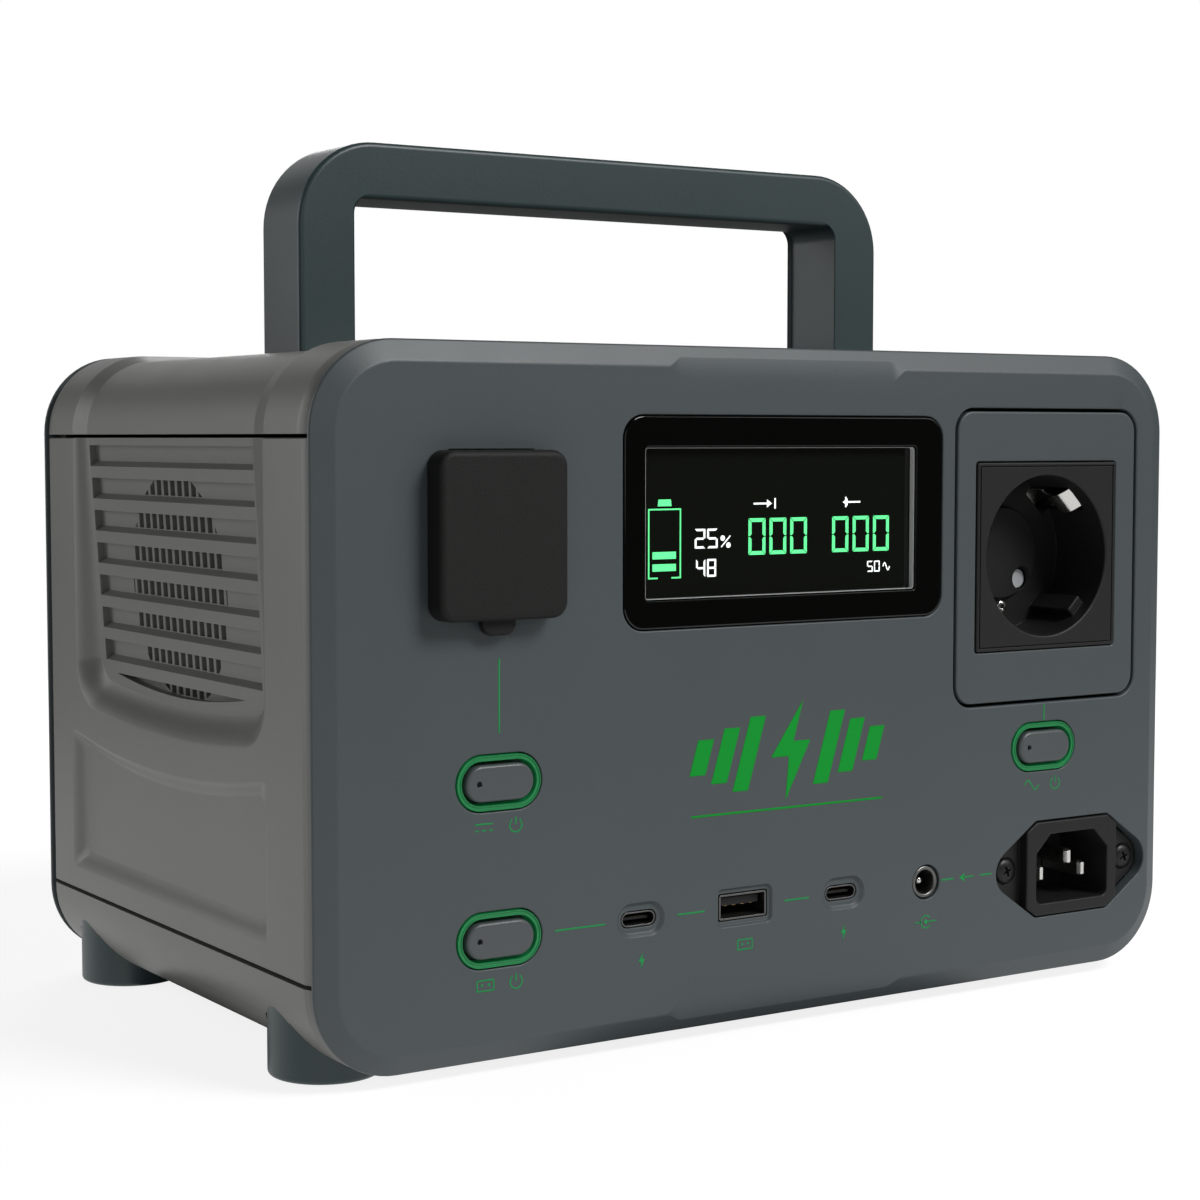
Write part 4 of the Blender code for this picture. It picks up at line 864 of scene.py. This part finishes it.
def make_feet():
    """Four round feet with a soft lower edge."""
    for node in FEET:
        centre, radius = foot_circle(node)
        low, high = span(node)[2]
        profile = [(low + 0.6, 6.0), (low + 0.6, 8.6), (low, 9.0)]
        profile += [(low + depth, radius - grow) for depth, grow in quarter(1.0, 5)]
        foot = turned("height", centre, [*profile, (high, radius)], 96)
        add(f"{node}_skin", foot, TEAL, (node,))


# The display

SEGMENT_GAP = 0.14
# Numbers on the screen: text, left, low, width, height, pitch and stroke
GREEN_NUMBERS = [("000", -10.4, 106.6, 4.8, 8.3, 5.95, 0.85), ("000", 13.7, 106.6, 4.8, 8.3, 6.1, 0.85)]
WHITE_NUMBERS = [("25", -25.3, 108.4, 2.9, 4.4, 3.4, 0.5), ("48", -24.9, 102.0, 2.5, 4.0, 3.0, 0.46),
                 ("50", 24.2, 101.7, 1.7, 2.6, 2.1, 0.32)]
SEGMENTS = {"0": "abcdef", "2": "abged", "4": "fgbc", "5": "afgcd", "8": "abcdefg"}


def segment_shapes(left, low, width, height, stroke):
    """The seven bars of a digit, as outlines with slanted ends, by their usual letters."""
    gap = stroke * SEGMENT_GAP
    half = stroke / 2
    right, top, middle = left + width, low + height, low + height / 2

    def flipped(outline, across, up):
        return [(left + right - u if across else u, low + top - v if up else v) for u, v in outline]

    flat = [(left + gap, low), (right - gap, low), (right - stroke - gap, low + stroke),
            (left + stroke + gap, low + stroke)]
    upright = [(left, middle - gap), (left, low + gap), (left + stroke, low + stroke + gap),
               (left + stroke, middle - half - gap), (left + half, middle - gap)]
    crossbar = [(left + half + gap, middle), (left + stroke + gap, middle - half),
                (right - stroke - gap, middle - half), (right - half - gap, middle),
                (right - stroke - gap, middle + half), (left + stroke + gap, middle + half)]
    return {"a": flipped(flat, False, True), "b": flipped(upright, True, True),
            "c": flipped(upright, True, False), "d": flat, "e": upright, "f": flipped(upright, False, True),
            "g": crossbar}


def add_digits(mesh, depth, text, left, low, width, height, pitch, stroke):
    """Seven-segment digits in a row."""
    for place_number, digit in enumerate(text):
        shapes = segment_shapes(left + place_number * pitch, low, width, height, stroke)
        for letter in SEGMENTS[digit]:
            add_flat(mesh, shapes[letter], depth)


def add_flat(mesh, outline, depth=PRINT_DEPTH):
    """A thin flat shape at a depth."""
    prism(depth, depth + FILM, outline, mesh)


def add_line(mesh, path, width, depth=PRINT_DEPTH):
    """A thin flat line along a path."""
    add_flat(mesh, ribbon(path, width), depth)


def make_display():
    """The gloss window with a thin light grey strip inside its opening as a painted highlight, the dark
    screen behind it and what the screen shows.
    """
    opening = sink(lambda g: rectangle(SCREEN, SCREEN_CORNER, g), THROUGH, 0.15, -0.1)
    window = block(lambda g: rectangle(DISPLAY, DISPLAY_CORNER, g), -0.1, DISPLAY_BACK, 0.35)
    add("display_frame", boolean(window, opening), GLOSS, ("display_window",))
    # painted highlight: a thin light grey strip lines the window's opening, in place of light caught by its
    # inner wall
    painted_highlight_strip = [(depth, rectangle(SCREEN, SCREEN_CORNER, -GAP - inset)) for depth, inset in
              ((0.5, 0.1), (0.5, 0), (DISPLAY_BACK, 0), (DISPLAY_BACK, 0.1))]
    add("display_painted_highlight", loft("depth", painted_highlight_strip, True), PAINTED_HIGHLIGHT)
    glass = span("lcd_module")[1][0]
    face = block(lambda g: rectangle(SCREEN, SCREEN_CORNER, g + 1.6), glass - 0.25, glass - 0.02, 0.05)
    add("screen_glass", face, SCREEN_FACE)

    depth = glass - 0.32
    green = bmesh.new()
    white = bmesh.new()
    for number in GREEN_NUMBERS:
        add_digits(green, depth, *number)
    for number in WHITE_NUMBERS:
        add_digits(white, depth, *number)
    left, right, low, high = -37.7, -29.2, 102.1, 117.3
    add_line(green, [(left, high), (right, high)], 0.34, depth)
    for side, inward in ((left, 1), (right, -1)):
        add_line(green, [(side, high + 0.15), (side, low)], 0.34, depth)
        add_line(green, [(side - 0.15 * inward, low), (side + 2.4 * inward, low)], 0.34, depth)
    add_flat(green, [(-35.3, 118.0), (-31.6, 118.0), (-31.8, 119.5), (-35.1, 119.5)], depth)
    for bar_low in (103.6, 106.3):
        add_flat(green, rectangle((-36.7, -30.4, bar_low, bar_low + 1.6)), depth)
    for dot in ((-17.6, 110.6), (-16.0, 109.0)):
        add_flat(white, circle(dot, 0.62, 20), depth)
    add_line(white, [(-18.0, 108.6), (-15.5, 111.1)], 0.3, depth)
    add_line(white, [(29.0 + t * 0.25, 102.9 + 0.9 * sin(t * 0.785)) for t in range(9)], 0.3, depth)
    for x, inward in ((-6.0, 1), (19.0, -1)):
        tip = x + 2.2 * inward
        add_line(white, [(x - 3 * inward, 118.2), (tip - 0.6 * inward, 118.2)], 0.4, depth)
        add_flat(white, [(tip, 118.2), (tip - 1.4 * inward, 119.1), (tip - 1.4 * inward, 117.3)], depth)
        add_line(white, [(tip + 0.9, 119.4), (tip + 0.9, 117.0)], 0.4, depth)
    add("screen_green", green, GREEN_SEGMENT)
    add("screen_white", white, WHITE_SEGMENT)


# The socket, the inlet and the 12 V outlet

def smooth_path(points, steps=8):
    """A Catmull-Rom curve through points."""
    padded = [points[0], *points, points[-1]]
    path = []
    for before, start, end, after in zip(padded, padded[1:], padded[2:], padded[3:]):
        for step in range(steps):
            t = step / steps
            path.append(tuple(0.5 * (2 * b + (c - a) * t + (2 * a - 5 * b + 4 * c - d) * t * t
                                     + (3 * b - a - 3 * c + d) * t ** 3)
                              for a, b, c, d in zip(before, start, end, after)))
    return [*path, points[-1]]


def make_socket():
    """The AC socket: its panel, and the round-well insert with guides, floor pad and earth clips."""
    square = centred(SOCKET, 2 * SOCKET_HALF, 2 * SOCKET_HALF)
    surround = block(lambda g: rectangle(SURROUND, SURROUND_CORNER, g), 0, 3.3, 0.5)
    opening = sink(lambda g: rectangle(square, 0.6, GAP + g), THROUGH, 0.3)
    add("socket_panel", boolean(surround, opening), FRONT, ("socket_surround",))

    insert = block(lambda g: rectangle(square, 0.6, g), -0.3, 5.0, 0.4)
    inner = rectangle(square, 0.6, -1.1)
    outer = rectangle(square, 0.6, -0.8)
    groove = loft("depth", [(-1, outer), (0.1, outer), (0.1, inner), (-1, inner)], True)
    insert = boolean(insert, groove)
    insert = join(insert, turned("depth", SOCKET, [(4, 22.3), (21, 22.3)]))
    insert = boolean(insert, sink(lambda g: circle(SOCKET, WELL_RADIUS + g), WELL_DEPTH, 0.6, -0.3))
    pad = [(WELL_DEPTH + 0.5, PAD_RADIUS), (WELL_DEPTH - 0.9, PAD_RADIUS),
           (WELL_DEPTH - 1.2, PAD_RADIUS - 0.3)]
    insert = join(insert, turned("depth", SOCKET, pad))
    for side in (-1, 1):
        rail = centred((SOCKET[0] + side * 19.0, SOCKET[1]), 3.4, 5.0)
        guide = block(lambda g, b=rail: rectangle(b, 0.5, g), 3.2, WELL_DEPTH + 1, 0.5)
        insert = join(insert, spun(guide, SOCKET, EARTH_ANGLE - pi / 2))
    ways = bmesh.new()
    slots = bmesh.new()
    for side in (-1, 1):
        hole = (SOCKET[0] + side * CONTACT_REACH, SOCKET[1])
        turned("depth", hole, [(WELL_DEPTH - 3, 3.2), (WELL_DEPTH - 1.2, 3.2), (WELL_DEPTH - 0.8, 2.8),
                               (30, 2.8)], 40, mesh=ways)
        bounds = sorted(SOCKET[0] + side * reach for reach in (16.8, 21.0))
        prism(4.4, 30, rectangle((*bounds, SOCKET[1] - 4, SOCKET[1] + 4)), slots)
    insert = boolean(insert, spun(ways, SOCKET, EARTH_ANGLE - pi / 2))
    insert = boolean(insert, spun(slots, SOCKET, EARTH_ANGLE))
    add("socket_well", insert, BLACK, ("socket_insert",))
    rivet = (SOCKET[0] + 0.8, SOCKET[1] - 13.6)
    add("socket_rivet", screw_head(rivet, WELL_DEPTH - 0.05, 1.5), STEEL)

    strap = bmesh.new()
    curve = smooth_path([(20.2, 5.0), (17.6, 8.0), (18.6, 11.5), (19.9, 14.5), (19.9, 21.6)])
    for side in (-1, 1):
        strip = ribbon([(SOCKET[0] + side * reach, depth) for reach, depth in curve], 0.8)
        loft("height", [(SOCKET[1] + level, strip) for level in (-3.0, -2.8, 2.8, 3.0)], mesh=strap)
    link = ribbon([(SOCKET[0] - 19.9, 21.9), (SOCKET[0] + 19.9, 21.9)], 0.6)
    bar = loft("height", [(SOCKET[1] + level, link) for level in (-3.0, 3.0)])
    strap = join(spun(strap, SOCKET, EARTH_ANGLE), spun(bar, SOCKET, EARTH_ANGLE))
    add("earth_clips", strap, STEEL, ("socket_earth_strap",))


def make_inlet():
    """The mains inlet's body and its two cross-head screws."""
    body = block(inlet_outline, INLET_EAR_DEPTH, INLET_EAR_BACK, 0.5)
    body = join(body, block(lambda g: inlet_outline(g - 0.05, INLET_BLOCK), -0.3, INLET_EAR_BACK - 0.5, 0.5))
    rear = rectangle((INLET[0] - 13.2, INLET[0] + 13.2, INLET[1] - 9.35, INLET[1] + 9.7), 2.0)
    body = join(body, prism(INLET_EAR_BACK - 1, 24, rear))

    def cavity(grow):
        left, right = INLET[0] - 12 - grow, INLET[0] + 12 + grow
        low, high = INLET[1] - 8.7 - grow, INLET[1] + 8.5 + grow
        cut = 4.7 + 0.4 * grow
        return filleted([(left, low, 1.8), (right, low, 1.8), (right, high - cut, 0.5),
                         (right - cut, high, 0.5), (left + cut, high, 0.5), (left, high - cut, 0.5)], 5)

    body = boolean(body, sink(cavity, 17, 0.4, -0.3))
    ways = bmesh.new()
    for label in ("earth", "line", "neutral"):
        prism(15, 27, rectangle(front_bounds(f"inlet_pin_{label}", 0.2)), ways)
    screws = {"left": (INLET[0] - INLET_SCREW, INLET[1]), "right": (INLET[0] + INLET_SCREW, INLET[1])}
    seat = INLET_EAR_DEPTH + 0.5
    for spot in screws.values():
        turned("depth", spot, [(1, 3.5), (seat, 3.5), (seat, 1.9), (9, 1.9)], 40, mesh=ways)
    add("inlet_shell", boolean(body, ways), BLACK, ("inlet_body",))
    for side, spot in screws.items():
        head = screw_head(spot, seat - 0.05, 3.1)
        add(f"inlet_screw_head_{side}", head, SCREW, (f"inlet_screw_{side}",))


def make_flap():
    """The rubber flap, with a crowned face, a raised rim and a pull tab."""
    def outline(grow):
        return rectangle(FLAP, FLAP_CORNER, grow, 12)

    flap = block(outline, FLAP_FRONT, -GAP, 1.5)
    tab = centred(((FLAP[0] + FLAP[1]) / 2, TAB_HEIGHT), *TAB_SIZE)
    flap = join(flap, block(lambda g: rectangle(tab, 2.6, g, 12), -3.4, -0.9, 0.8, 0.6))
    hollow = rectangle((FLAP[0] + 1.0, FLAP[1] - 1.0, FLAP[2] + 1.2, 125.5), 2.5)
    flap = boolean(flap, prism(FLAP_FRONT + 2.0, 2, hollow))
    add("flap_rubber", flap, RUBBER, ("socket_flap",), "socket_flap")


def make_car_socket():
    """The 12 V outlet's barrel, with its rounded bezel."""
    bezel = [(-0.3, 14.3), (-0.9, 14.3), (-1.3, 14.1), (-1.6, 13.5), (-1.6, 11.2), (-1.4, 10.7), (-1.0, 10.5)]
    profile = [*bezel, (40, 10.5), (40, 3.3), (42, 3.3), (42, 12.7), (-0.3, 12.7)]
    add("outlet_barrel", turned("depth", CAR_SOCKET, profile, closed=True), BLACK,
        ("car_socket_barrel",))


# Buttons and ports

def make_buttons():
    """Three pill-shaped buttons with a pinhole, each in a light ring."""
    for label, centre in BUTTONS.items():
        def outline(grow, c=centre):
            return pill(c, *BUTTON_SIZE, grow)

        front = span(f"{label}_button")[1][0]
        button = block(outline, front, 4.2, 0.8)
        hole = (centre[0] - PINHOLE_OFFSET, centre[1])
        button = boolean(button, sink(lambda g, h=hole: circle(h, PINHOLE_RADIUS + g, 24), 0.8, 0.2, front))
        button = join(button, prism(4.1, 5.2, pill(centre, *FLANGE_SIZE, 1.2)))
        button = join(button, turned("depth", centre, [(5, 1.5), (7.4, 1.5)], 24))
        add(f"{label}_button_cap", button, BUTTON, (f"{label}_button",), f"{label}_button")
        half_ring = [(3.6, 0), (0.1, 0), (-0.1, 0.1), (-0.1, 0.28), (0.12, 0.4)]
        ring = half_ring + [(depth, RING_WALL - inset) for depth, inset in reversed(half_ring)]
        mesh = loft("depth", [(depth, pill(centre, *RING_SIZE, -inset)) for depth, inset in ring], True)
        add(f"{label}_ring", mesh, RING, (f"{label}_light_ring",))


def make_ports():
    """The DC jack with its pin, and the contact strips on the USB tongues."""
    jack = [(12.4, 3.9), (0.7, 3.9), (0.45, 3.75), (0.35, 3.5), (0.4, 3.1), (0.6, 2.9), (0.9, 2.8),
            (10.5, 2.8)]
    add("jack_barrel", turned("depth", DC_JACK, jack), SHELL, ("dc_jack",))
    pin = [(2.2, 0.3), (2.3, 0.6), (2.6, 0.85), (3.0, 1.0), (10.2, 1.0)]
    add("jack_pin", turned("depth", DC_JACK, pin, 32), STEEL, ("dc_jack_pin",))
    strips = bmesh.new()
    for column in range(4):
        x = USB_A[0] - 3.6 + 2.4 * column
        prism(2.7, 9, rectangle((x - 0.5, x + 0.5, USB_A[1] - 0.05, USB_A[1] + 0.07)), strips)
    for centre in USB_C:
        for column in range(12):
            x = centre[0] - 2.75 + 0.5 * column
            prism(2.6, 6, rectangle((x - 0.12, x + 0.12, centre[1] + 0.31, centre[1] + 0.36)), strips)
    add("port_contacts", strips, GOLD)


# Printed marks

LINK_LINE = 0.4
ICON_LINE = 0.36
THIN_LINE = 0.34
MARK_LINE = 0.5
ICON_RADIUS = 1.5
MARK_LEAN = 0.3


def power_symbol(mesh, centre):
    """The on-off symbol."""
    add_line(mesh, arc(centre, ICON_RADIUS, 125, 415), THIN_LINE)
    add_line(mesh, [(centre[0], centre[1] + 0.1), (centre[0], centre[1] + ICON_RADIUS + 0.35)], THIN_LINE)


def make_prints():
    """The green lines, pictograms and the plain geometric mark on the front cover."""
    lines = bmesh.new()
    port_height = USB_A[1]
    dc, usb, ac = (BUTTONS[label] for label in ("dc", "usb", "ac"))
    paths = [[(dc[0], 86.5), (dc[0], 70.7)], [(ac[0], 67.4), (ac[0], 63.4)]]
    paths += [[(start, port_height), (end, port_height)] for start, end in
              ((-63.5, -50.5), (-31.3, -23.8), (-1.2, 5.9), (46.2, 50.1), (58.5, 62.3))]
    for path in paths:
        add_line(lines, path, LINK_LINE)

    power_symbol(lines, (dc[0] + 4, dc[1] - 9.4))
    add_line(lines, [(dc[0] - 6, dc[1] - 8.6), (dc[0] - 1.6, dc[1] - 8.6)], ICON_LINE)
    for dash in range(3):
        x = dc[0] - 6 + dash * 1.7
        add_line(lines, [(x, dc[1] - 10.0), (x + 1.0, dc[1] - 10.0)], ICON_LINE)
    power_symbol(lines, (usb[0] + 4, usb[1] - 9.6))
    plug_symbol(lines, (usb[0] - 3.6, usb[1] - 9.6))
    power_symbol(lines, (ac[0] + 4, ac[1] - 9.4))
    wave = [(ac[0] - 6.2 + t * 0.3, ac[1] - 9.4 + 1.2 * sin(t * pi / 8)) for t in range(17)]
    add_line(lines, wave, ICON_LINE)
    for centre in USB_C:
        bolt_symbol(lines, (centre[0], port_height - 9.2), 1.9)
    plug_symbol(lines, (USB_A[0], port_height - 8.8))
    jack = (DC_JACK[0], port_height - 9.6)
    add_line(lines, arc(jack, ICON_RADIUS, 35, 325), THIN_LINE)
    add_flat(lines, circle(jack, 0.55, 20))
    for start, end in ((0.5, 3.4), (-1.5, -3.4)):
        add_line(lines, [(jack[0] + start, jack[1]), (jack[0] + end, jack[1])], THIN_LINE)
    arrow = (54.3, port_height)
    add_line(lines, [(arrow[0] + 2.2, arrow[1]), (arrow[0] - 1.0, arrow[1])], ICON_LINE)
    add_flat(lines, [(arrow[0] - 2.4, arrow[1]), (arrow[0] - 0.8, arrow[1] - 1.1),
                     (arrow[0] - 0.8, arrow[1] + 1.1)])
    add("printed_lines", lines, PRINT)

    mark = bmesh.new()
    centre = (0.0, 61.6)
    bolt_symbol(mark, centre, 11.6)
    for side in (-1, 1):
        for number, half in enumerate((8.4, 6.2, 4.0)):
            x = centre[0] + side * (11.5 + 6.6 * number)
            bar = [(x + u + v * MARK_LEAN, centre[1] + v)
                   for u, v in ((-2.2, -half), (2.2, -half), (2.2, half), (-2.2, half))]
            add_flat(mark, bar)
    add_line(mark, [(-27.5, 48.4), (27.5, 48.4)], MARK_LINE)
    add("printed_mark", mark, MARK)


def bolt_symbol(mesh, centre, size):
    """A lightning bolt, size high above and below its centre."""
    shape = [(-0.10, -1.0), (0.52, 0.18), (0.10, 0.18), (0.34, 1.0), (-0.46, -0.12), (-0.02, -0.12)]
    add_flat(mesh, [(centre[0] + u * size, centre[1] + v * size) for u, v in shape])


def plug_symbol(mesh, centre):
    """A flat plug with two contacts, for the USB outputs."""
    x, height = centre
    frame_line = rectangle((x - 2.2, x + 2.2, height - 1.3, height + 1.3), 0.3)
    hole = rectangle((x - 1.85, x + 1.85, height - 0.95, height + 0.95), 0.1)
    back = PRINT_DEPTH + FILM
    sections = [(PRINT_DEPTH, frame_line), (back, frame_line), (back, hole), (PRINT_DEPTH, hole)]
    loft("depth", sections, True, mesh)
    for side in (-1, 1):
        add_flat(mesh, rectangle(centred((x + side * 0.85, height + 0.1), 0.6, 0.6)))


# Camera, lights and floor

CAMERA_SPOT = (-0.33478, -0.51015, 0.13605)
CAMERA_YAW = radians(33.03)
CAMERA_PITCH = radians(3.86)
CAMERA_LENS = 72.03
WORLD_STRENGTH = 0.03
FLOOR_GLOW = 0.84
FLOOR_RADIUS = 0.8
BOUNCE = 0.8
CARD_HOLE = 0.13
DISC_SIDES = 96
LIGHT_AIM = (0.0, 0.0, 0.09)
# Each softbox: name, place, size and power
SOFTBOXES = [("key", (0.55, -1.15, 1.2), 0.6, 22), ("left_rear", (-1.2, 1.0, 0.45), 0.9, 7.5),
             ("right", (1.4, -1.1, 0.9), 0.9, 5), ("left_front", (-1.0, -1.4, 0.45), 0.8, 3),
             ("rear_top", (0.2, 1.4, 1.0), 1.0, 2.4), ("rear", (0.9, 1.5, 0.85), 0.7, 8)]


def make_camera():
    """The camera at the photograph's viewing angle."""
    data = bpy.data.cameras.new("camera")
    data.lens = CAMERA_LENS
    data.sensor_width = 36.0
    data.clip_start = 0.01
    camera = bpy.data.objects.new("camera", data)
    bpy.context.scene.collection.objects.link(camera)
    camera.location = CAMERA_SPOT
    level = cos(CAMERA_PITCH)
    ahead = Vector((sin(CAMERA_YAW) * level, cos(CAMERA_YAW) * level, -sin(CAMERA_PITCH)))
    camera.rotation_euler = ahead.to_track_quat("-Z", "Y").to_euler()
    bpy.context.scene.camera = camera


def softbox(name, spot, size, power):
    """A square area light that faces the object."""
    data = bpy.data.lights.new(name, "AREA")
    data.size = size
    data.energy = power
    light = bpy.data.objects.new(name, data)
    light.location = spot
    light.rotation_euler = (Vector(LIGHT_AIM) - Vector(spot)).to_track_quat("-Z", "Y").to_euler()
    bpy.context.scene.collection.objects.link(light)


def make_studio():
    """A pale floor, a card that lights from below, and softboxes all round."""
    scene = bpy.context.scene
    scene.view_settings.view_transform = "Standard"
    world_light = bpy.data.worlds.new("studio")
    scene.world = world_light
    world_light.use_nodes = True
    nodes = world_light.node_tree.nodes
    links = world_light.node_tree.links
    seen = nodes["Background"]
    seen.inputs["Color"].default_value = (1, 1, 1, 1)
    seen.inputs["Strength"].default_value = 1.0
    lighting = nodes.new("ShaderNodeBackground")
    lighting.inputs["Color"].default_value = (0.96, 0.98, 1.0, 1)
    lighting.inputs["Strength"].default_value = WORLD_STRENGTH
    path = nodes.new("ShaderNodeLightPath")
    blend = nodes.new("ShaderNodeMixShader")
    links.new(path.outputs["Is Camera Ray"], blend.inputs["Fac"])
    links.new(lighting.outputs["Background"], blend.inputs[1])
    links.new(seen.outputs["Background"], blend.inputs[2])
    links.new(blend.outputs["Shader"], nodes["World Output"].inputs["Surface"])

    floor = make_disc("floor", 0, FLOOR_RADIUS)
    floor.visible_diffuse = floor.visible_glossy = floor.visible_shadow = False
    paper = Finish("floor_paper", Roughness=0.9, Emission_Color=(1, 1, 1, 1), Specular_IOR_Level=0.1)
    tone = paper.mix(paper.noise(300.0), (0.22, 0.22, 0.22, 1), (0.24, 0.24, 0.24, 1))
    paper.feed(paper.shader.inputs["Base Color"], tone)
    away = paper.node("ShaderNodeVectorMath")
    away.operation = "LENGTH"
    paper.feed(away.inputs[0], paper.place)
    paper.feed(paper.shader.inputs["Emission Strength"],
               paper.ramp(away.outputs["Value"], FLOOR_GLOW, 1.0, 0.2, FLOOR_RADIUS * 0.8))
    floor.data.materials.append(paper.material)

    card = make_disc("bounce_card", CARD_HOLE, FLOOR_RADIUS)
    card.location.z = -0.002
    card.scale.y = 0.65
    card.visible_camera = card.visible_shadow = False
    glow = Finish("bounce_glow", Base_Color=(0, 0, 0, 1), Emission_Color=(1, 1, 1, 1), Roughness=1.0)
    level = glow.ramp(glow.noise(400.0), BOUNCE * 0.97, BOUNCE * 1.03)
    glow.feed(glow.shader.inputs["Emission Strength"], level)
    card.data.materials.append(glow.material)

    for lamp in SOFTBOXES:
        softbox(*lamp)


def make_disc(name, hole, radius):
    """A flat round disc on the ground, with or without a hole."""
    mesh = bmesh.new()
    outer = [mesh.verts.new((x, y, 0)) for x, y in circle((0, 0), radius, DISC_SIDES)]
    if hole:
        inner = [mesh.verts.new((x, y, 0)) for x, y in circle((0, 0), hole, DISC_SIDES)]
        for i in range(DISC_SIDES):
            mesh.faces.new((inner[i - 1], outer[i - 1], outer[i], inner[i]))
    else:
        mesh.faces.new(outer)
    data = bpy.data.meshes.new(name)
    mesh.to_mesh(data)
    mesh.free()
    disc = bpy.data.objects.new(name, data)
    bpy.context.scene.collection.objects.link(disc)
    return disc


dress_nodes()
make_camera()
make_studio()
make_front_cover()
make_rear_cover()
make_shells()
make_side_panel(-1, "left_side_panel")
make_side_panel(1, "right_side_panel")
make_handle()
make_feet()
make_display()
make_socket()
make_inlet()
make_flap()
make_car_socket()
make_buttons()
make_ports()
make_prints()
